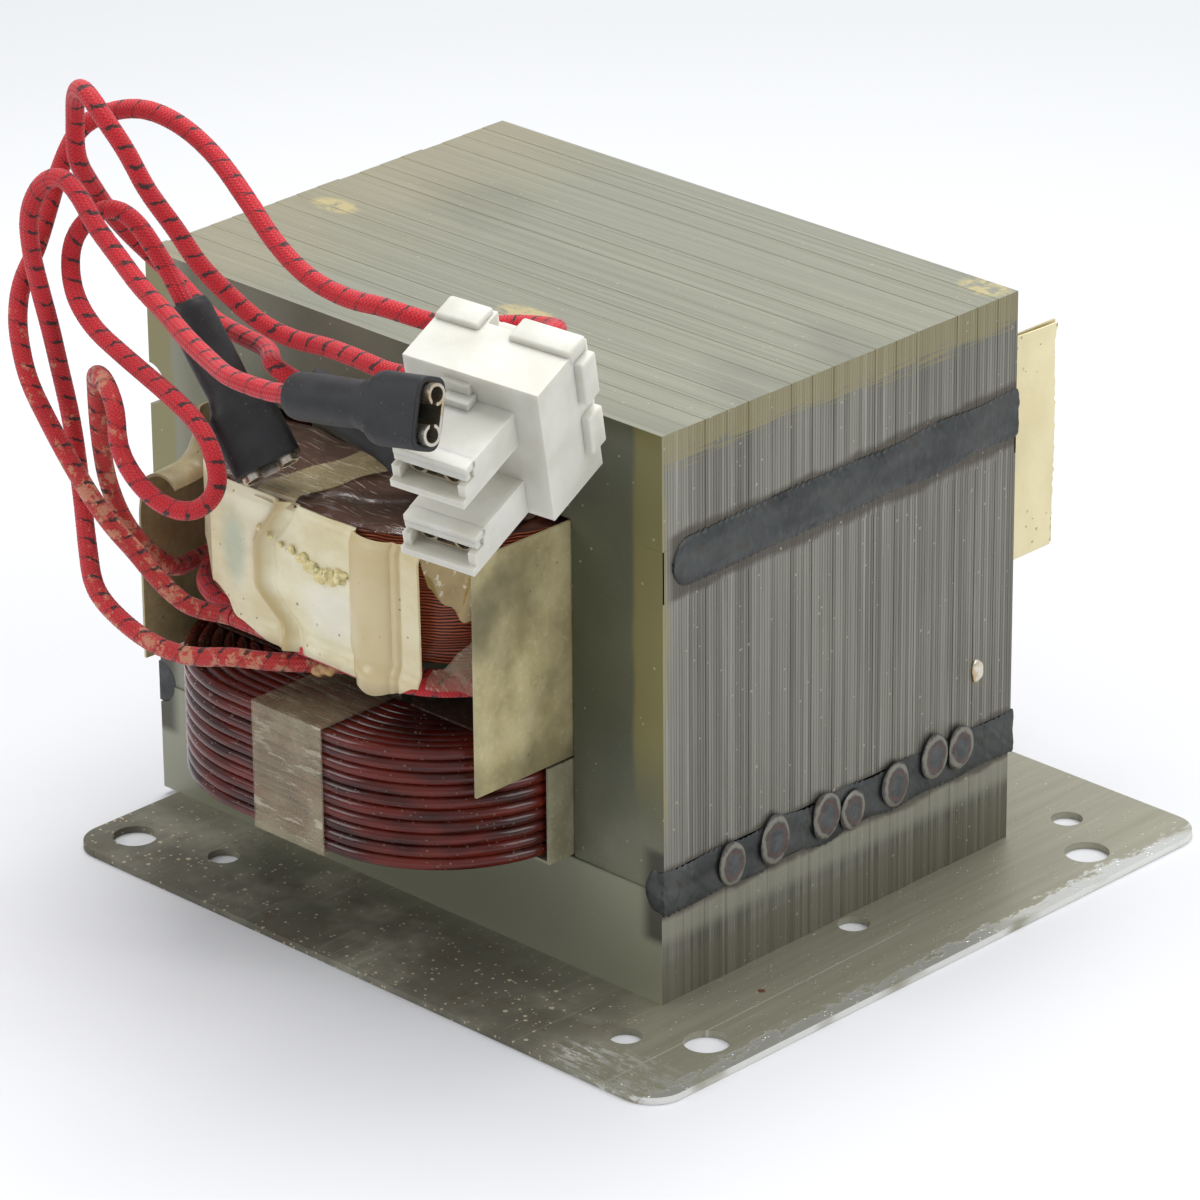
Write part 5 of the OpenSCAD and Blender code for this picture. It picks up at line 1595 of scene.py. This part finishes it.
        def place(u: float, v: float) -> Point:
            """Point of the film, which droops over the outer edge."""
            x = -26.5 + 53.0 * u
            edge = -53.4 if abs(x) < 6.6 else -29.3 - math.sqrt(max(0.0, 24.1 ** 2 - (abs(x) - 6.6) ** 2))
            inner = max(edge + 0.6, -34.8)
            y = inner + (edge - inner) * v
            z = 64.15 + 0.35 * crumple(x + 0.7 * y) + 0.2 * small(0.6 * x - y) + 0.25
            return (x, y, z - 0.5 * ramp(v, 0.9, 1.0))

        piece = grid("top_film_front", 150, 50, place)
        close(piece, 0.1, 0.0, 60)
        dress(piece, film)
        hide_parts("secondary_film_front")
        band = grid("top_tape_strip", 30, 40, lambda u, v: (
            -3.5 + 7.0 * u - 2.5 * v, -36.0 - 17.9 * v,
            64.95 + 0.3 * crumple(-3.5 + 7 * u - 36 - 18 * v) - 1.6 * ramp(v, 0.93, 1.0)))
        close(band, 0.08, 0.0, 60)
        dress(band, strip)

    def left_flap(self, material: bpy.types.Material) -> None:
        """Left slot paper, whose top front corner is curled inwards."""
        def place(u: float, v: float) -> Point:
            """Point of the flap; the curl grows to the front and the top."""
            y = 60.95 - 112.4 * u
            z = 31.6 + 33.0 * v
            curl = ramp(y, -38, -46) * ramp(z, 52, 60)
            x = -31.45 + 0.25 * math.sin(y * 0.35)
            length = max(0.0, z - 56.0) * curl
            radius = 3.4
            angle = min(length / radius, 2.5)
            return (x + radius * (1 - math.cos(angle)) + max(0.0, -y - 42) * 0.12 * curl, y,
                    min(z, z - length + radius * math.sin(angle)))

        piece = grid("left_flap_paper", 150, 60, place)
        close(piece, 0.4, 0.0, 50)
        dress(piece, material)
        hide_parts("slot_paper_left")

    def rear_end(self, material: bpy.types.Material) -> None:
        """Rear end of the right slot paper, nearly free of grime and painted lighter as if lit through from
        behind, with a curled upper corner and a torn edge.
        """
        tear = wave(61, 6, 0.3, 1.4)

        def place(u: float, v: float) -> Point:
            """Point of the paper's rear end, a skin over the plain sheet."""
            y = 34.6 + (25.7 + 0.25 * tear(31 * v)) * u
            z = 31.4 + 33.4 * v
            x = (31.95 + 0.5 * ramp(u, 0.3, 1.0) * math.sin(3.0 * v) + 0.7 * ramp(v, 0.9, 1.0)
                 * ramp(u, 0.5, 1.0))
            return (x, y, z)

        piece = grid("slot_paper_rear_end", 50, 50, place)
        close(piece, 0.2, 0.0, 50)
        dress(piece, material)

    def build(self) -> None:
        """Make the papers, films and lumps of varnish."""
        cream = WrapPaper("cream_wrap").build()
        slot_paper = Paper("slot_paper", light=srgb(196, 184, 140), dark=srgb(156, 142, 98), grime=0.85,
                           smudge=srgb(96, 90, 66)).build()
        # The rear end's paper is painted lighter, for light shining through it from behind.
        rear_paper = Paper("slot_paper_painted_backlight", light=srgb(240, 228, 184), dark=srgb(228, 214, 166),
                           grime=0.1).build()
        self.front_wrap(cream)
        self.left_flap(slot_paper)
        repaint(("secondary_wrap_rear",), cream)
        repaint(("slot_paper_right",), slot_paper)
        self.rear_end(rear_paper)
        varnish = Lump("crumbly_varnish", light=srgb(244, 234, 180), dark=srgb(206, 186, 122),
                       shine=0.35).build()
        self.lump("varnish_crumbs", self.crumbs, (1, 0.5, 0.8), 0.5, varnish, 3)
        tan = Lump("tan_glue", light=srgb(196, 158, 104), dark=srgb(150, 108, 66), shine=0.35).build()
        self.lump("glue_blob", self.glue, (1, 0.9, 0.9), 0.25, tan, 5)
        amber = Film("amber_film", colour=srgb(176, 152, 92), body=0.6, haze=0.3).build()
        clear = Film("clear_film", colour=srgb(150, 122, 92), body=0.2, haze=0.35).build()
        self.torn_film(amber, clear)
        violet = Film("violet_film", colour=srgb(104, 78, 66), body=0.6, haze=0.4).build()
        self.top_film(violet, Film("clear_strip", colour=srgb(196, 180, 138), body=0.3, haze=0.35).build())
        repaint(("secondary_film_rear",), violet)


# ---------------------------------------------------------------- terminals


@dataclass
class Sleeve:
    """Moulded sleeve over a receptacle: round at the wire and flat at its mouth."""

    at: Point
    turn: Point
    length: float = 23.85
    wall: float = 0.8
    stations: tuple = ((0.0, 2.9, 2.9, 2.0), (0.05, 3.08, 3.08, 2.0), (0.3, 3.12, 3.12, 2.0),
                       (0.42, 3.1, 3.1, 2.1), (0.52, 2.95, 3.05, 2.2), (0.6, 2.9, 3.6, 2.5),
                       (0.66, 2.9, 4.5, 3.0), (0.72, 2.8, 4.64, 3.6), (0.86, 2.65, 4.62, 4.0),
                       (1.0, 2.5, 4.62, 4.0))

    def section(self, share: float) -> tuple[float, float, float]:
        """Half height, half width and squareness at a share of the length."""
        for low, high in zip(self.stations, self.stations[1:]):
            if share <= high[0]:
                t = ramp(share, low[0], high[0])
                return tuple(low[i] + (high[i] - low[i]) * t for i in (1, 2, 3))
        return self.stations[-1][1:]

    def build(self, name: str, node: str, seed: int, material: bpy.types.Material) -> None:
        """Make the sleeve and let it stand for its node.

        Args:
            name: Name of the piece.
            node: Fixed node it stands for.
            seed: Seed of its dents.
            material: Material of the sleeve.
        """
        dents = wave(seed, 6, 0.4, 1.6)

        def place(u: float, v: float) -> Point:
            """Point of the sleeve's outside."""
            half_h, half_w, square = self.section(v)
            angle = math.tau * u
            c, s = math.cos(angle), math.sin(angle)
            dent = 1 + 0.018 * dents(2 * v + c) * math.sin(math.pi * v)
            local = (v * self.length, math.copysign(half_h * abs(c) ** (2 / square), c) * dent,
                     math.copysign(half_w * abs(s) ** (2 / square), s) * dent)
            return tuple(placed(self.at, self.turn, local))

        piece = grid(name, 72, 60, place)
        merge(piece, 0.00002)
        face_out(piece)
        thicken(piece, self.wall, -1.0)
        modify(piece, "BEVEL", width=0.2 * MM, segments=2, limit_method="ANGLE", angle_limit=math.radians(60))
        soften(piece, 50)
        dress(piece, material)
        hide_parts(node)


# ---------------------------------------------------------------- sub-assemblies


@dataclass
class Terminals:
    """Connector, sleeves and receptacles on the leads' ends."""

    leads: Leads
    body: Point = (19.6, 11.8, 20.6)
    top: float = 9.85

    def bar(self, name: str, low: Point, high: Point, material: bpy.types.Material,
            edge: float = 0.3) -> None:
        """Rounded bar on the housing, given by two corners in its own frame.

        Args:
            name: Name of the piece.
            low: Corner with the smallest values in millimetres.
            high: Corner with the largest values in millimetres.
            material: Material of the bar.
            edge: Radius of its edges in millimetres.
        """
        deselect()
        middle = [(a + b) / 2 * MM for a, b in zip(low, high)]
        bpy.ops.mesh.primitive_cube_add(size=1, location=middle)
        piece = bpy.context.object
        piece.name = name
        piece.scale = [(b - a) * MM for a, b in zip(low, high)]
        settle(piece)
        modify(piece, "BEVEL", width=edge * MM, segments=3)
        at, turn = self.leads.conn_at, self.leads.conn_turn
        for vertex in piece.data.vertices:
            vertex.co = Vector(placed(at, turn, tuple(vertex.co / MM))) * MM
        soften(piece, 40)
        dress(piece, material)

    def housing_details(self, nylon: bpy.types.Material) -> None:
        """Flange, latches and pad that stand proud of the housing."""
        w, d, _ = (side / 2 for side in self.body)
        base = self.top - self.body[2]
        self.bar("housing_flange_left", (-w, d - 4.2, self.top - 1.5), (-3.4, d - 0.1, self.top + 0.75),
                 nylon, 0.5)
        self.bar("housing_flange_right", (0.9, d - 4.2, self.top - 1.5), (w + 0.1, d - 0.1, self.top + 0.75),
                 nylon, 0.5)
        self.bar("housing_latch_upper", (w - 1.2, d - 3.4, self.top - 8.0),
                 (w + 1.3, d - 0.2, self.top - 1.4), nylon, 0.35)
        self.bar("housing_latch_lower", (w - 1.2, d - 3.4, base + 4.6), (w + 1.3, d - 0.2, base + 10.4),
                 nylon, 0.35)
        for name, z in zip(("upper", "lower"), self.leads.way_z):
            x, front = self.leads.way_x, -d - 11.6
            self.bar(f"prong_roof_{name}", (x - 5.35, front, z + 1.5), (x + 5.35, front + 2.3, z + 2.66),
                     nylon, 0.2)
            self.bar(f"prong_brow_{name}", (x - 5.3, front + 0.05, z + 0.6), (x + 5.3, front + 1.0, z + 2.2),
                     nylon, 0.15)
        self.bar("housing_pad", (-3.2, -d - 2.2, 5.6), (0.6, -d + 0.4, 6.9), nylon, 0.2)

    def build(self) -> None:
        """Make the connector and the sleeves, and plate the receptacles."""
        nylon, vinyl = Nylon("milky_nylon").build(), SleeveVinyl("black_vinyl").build()
        tin = TinPlate("tin_plate").build()
        dress(refined("connector_housing", "connector_body", 0.28, 3), nylon)
        self.housing_details(nylon)
        for number, side in enumerate(("front", "left", "back")):
            at, turn = getattr(self.leads, "sleeve_" + side)
            Sleeve(at, turn).build(f"sleeve_{side}_skin", "sleeve_" + side, 100 + number, vinyl)
            repaint(("receptacle_" + side,), tin)
        repaint(("connector_receptacle_upper", "connector_receptacle_lower", "primary_tab_left",
                 "primary_tab_right"), tin)


@dataclass
class Core:
    """Lamination stacks, shunts, welds and the foot plate."""

    def build(self) -> None:
        """Finish the steel and make the welds."""
        sheets = Laminations("varnished_sheets").build()
        repaint(("e_laminations", "i_laminations", "shunt_left", "shunt_right"), sheets)
        repaint(("base_plate",), FootSteel("foot_steel").build())
        Welds().build(sheets)


@dataclass
class Windings:
    """Primary and secondary coils with their liners, cards and tapes."""

    def build(self) -> None:
        """Finish the coils and what lies on them."""
        repaint(("primary_winding",), WireEnamel("wire_enamel").build())
        repaint(("secondary_winding",), FineWire("fine_copper").build())
        repaint(("primary_liner_left", "primary_liner_right"),
                Paper("grey_liner", light=srgb(176, 170, 144), dark=srgb(132, 126, 98)).build())
        repaint(("primary_terminal_board", "shunt_card_left", "shunt_card_right"),
                Paper("brown_card", light=srgb(84, 54, 42), dark=srgb(48, 28, 22), grime=0.2).build())
        repaint(("primary_tape_front", "primary_tape_rear"),
                Film("printed_tape", colour=srgb(186, 172, 138), body=0.22, haze=0.25).build())


def main() -> None:
    """Build the scene, piece by piece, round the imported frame."""
    logging.basicConfig(level=logging.INFO, format="%(message)s")
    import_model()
    deselect()
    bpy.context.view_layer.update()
    Studio().build()
    leads = Leads()
    Terminals(leads).build()
    leads.build(Braid("red_braid").build())
    Core().build()
    Windings().build()
    Papers().build()


if __name__ == "__main__":
    main()
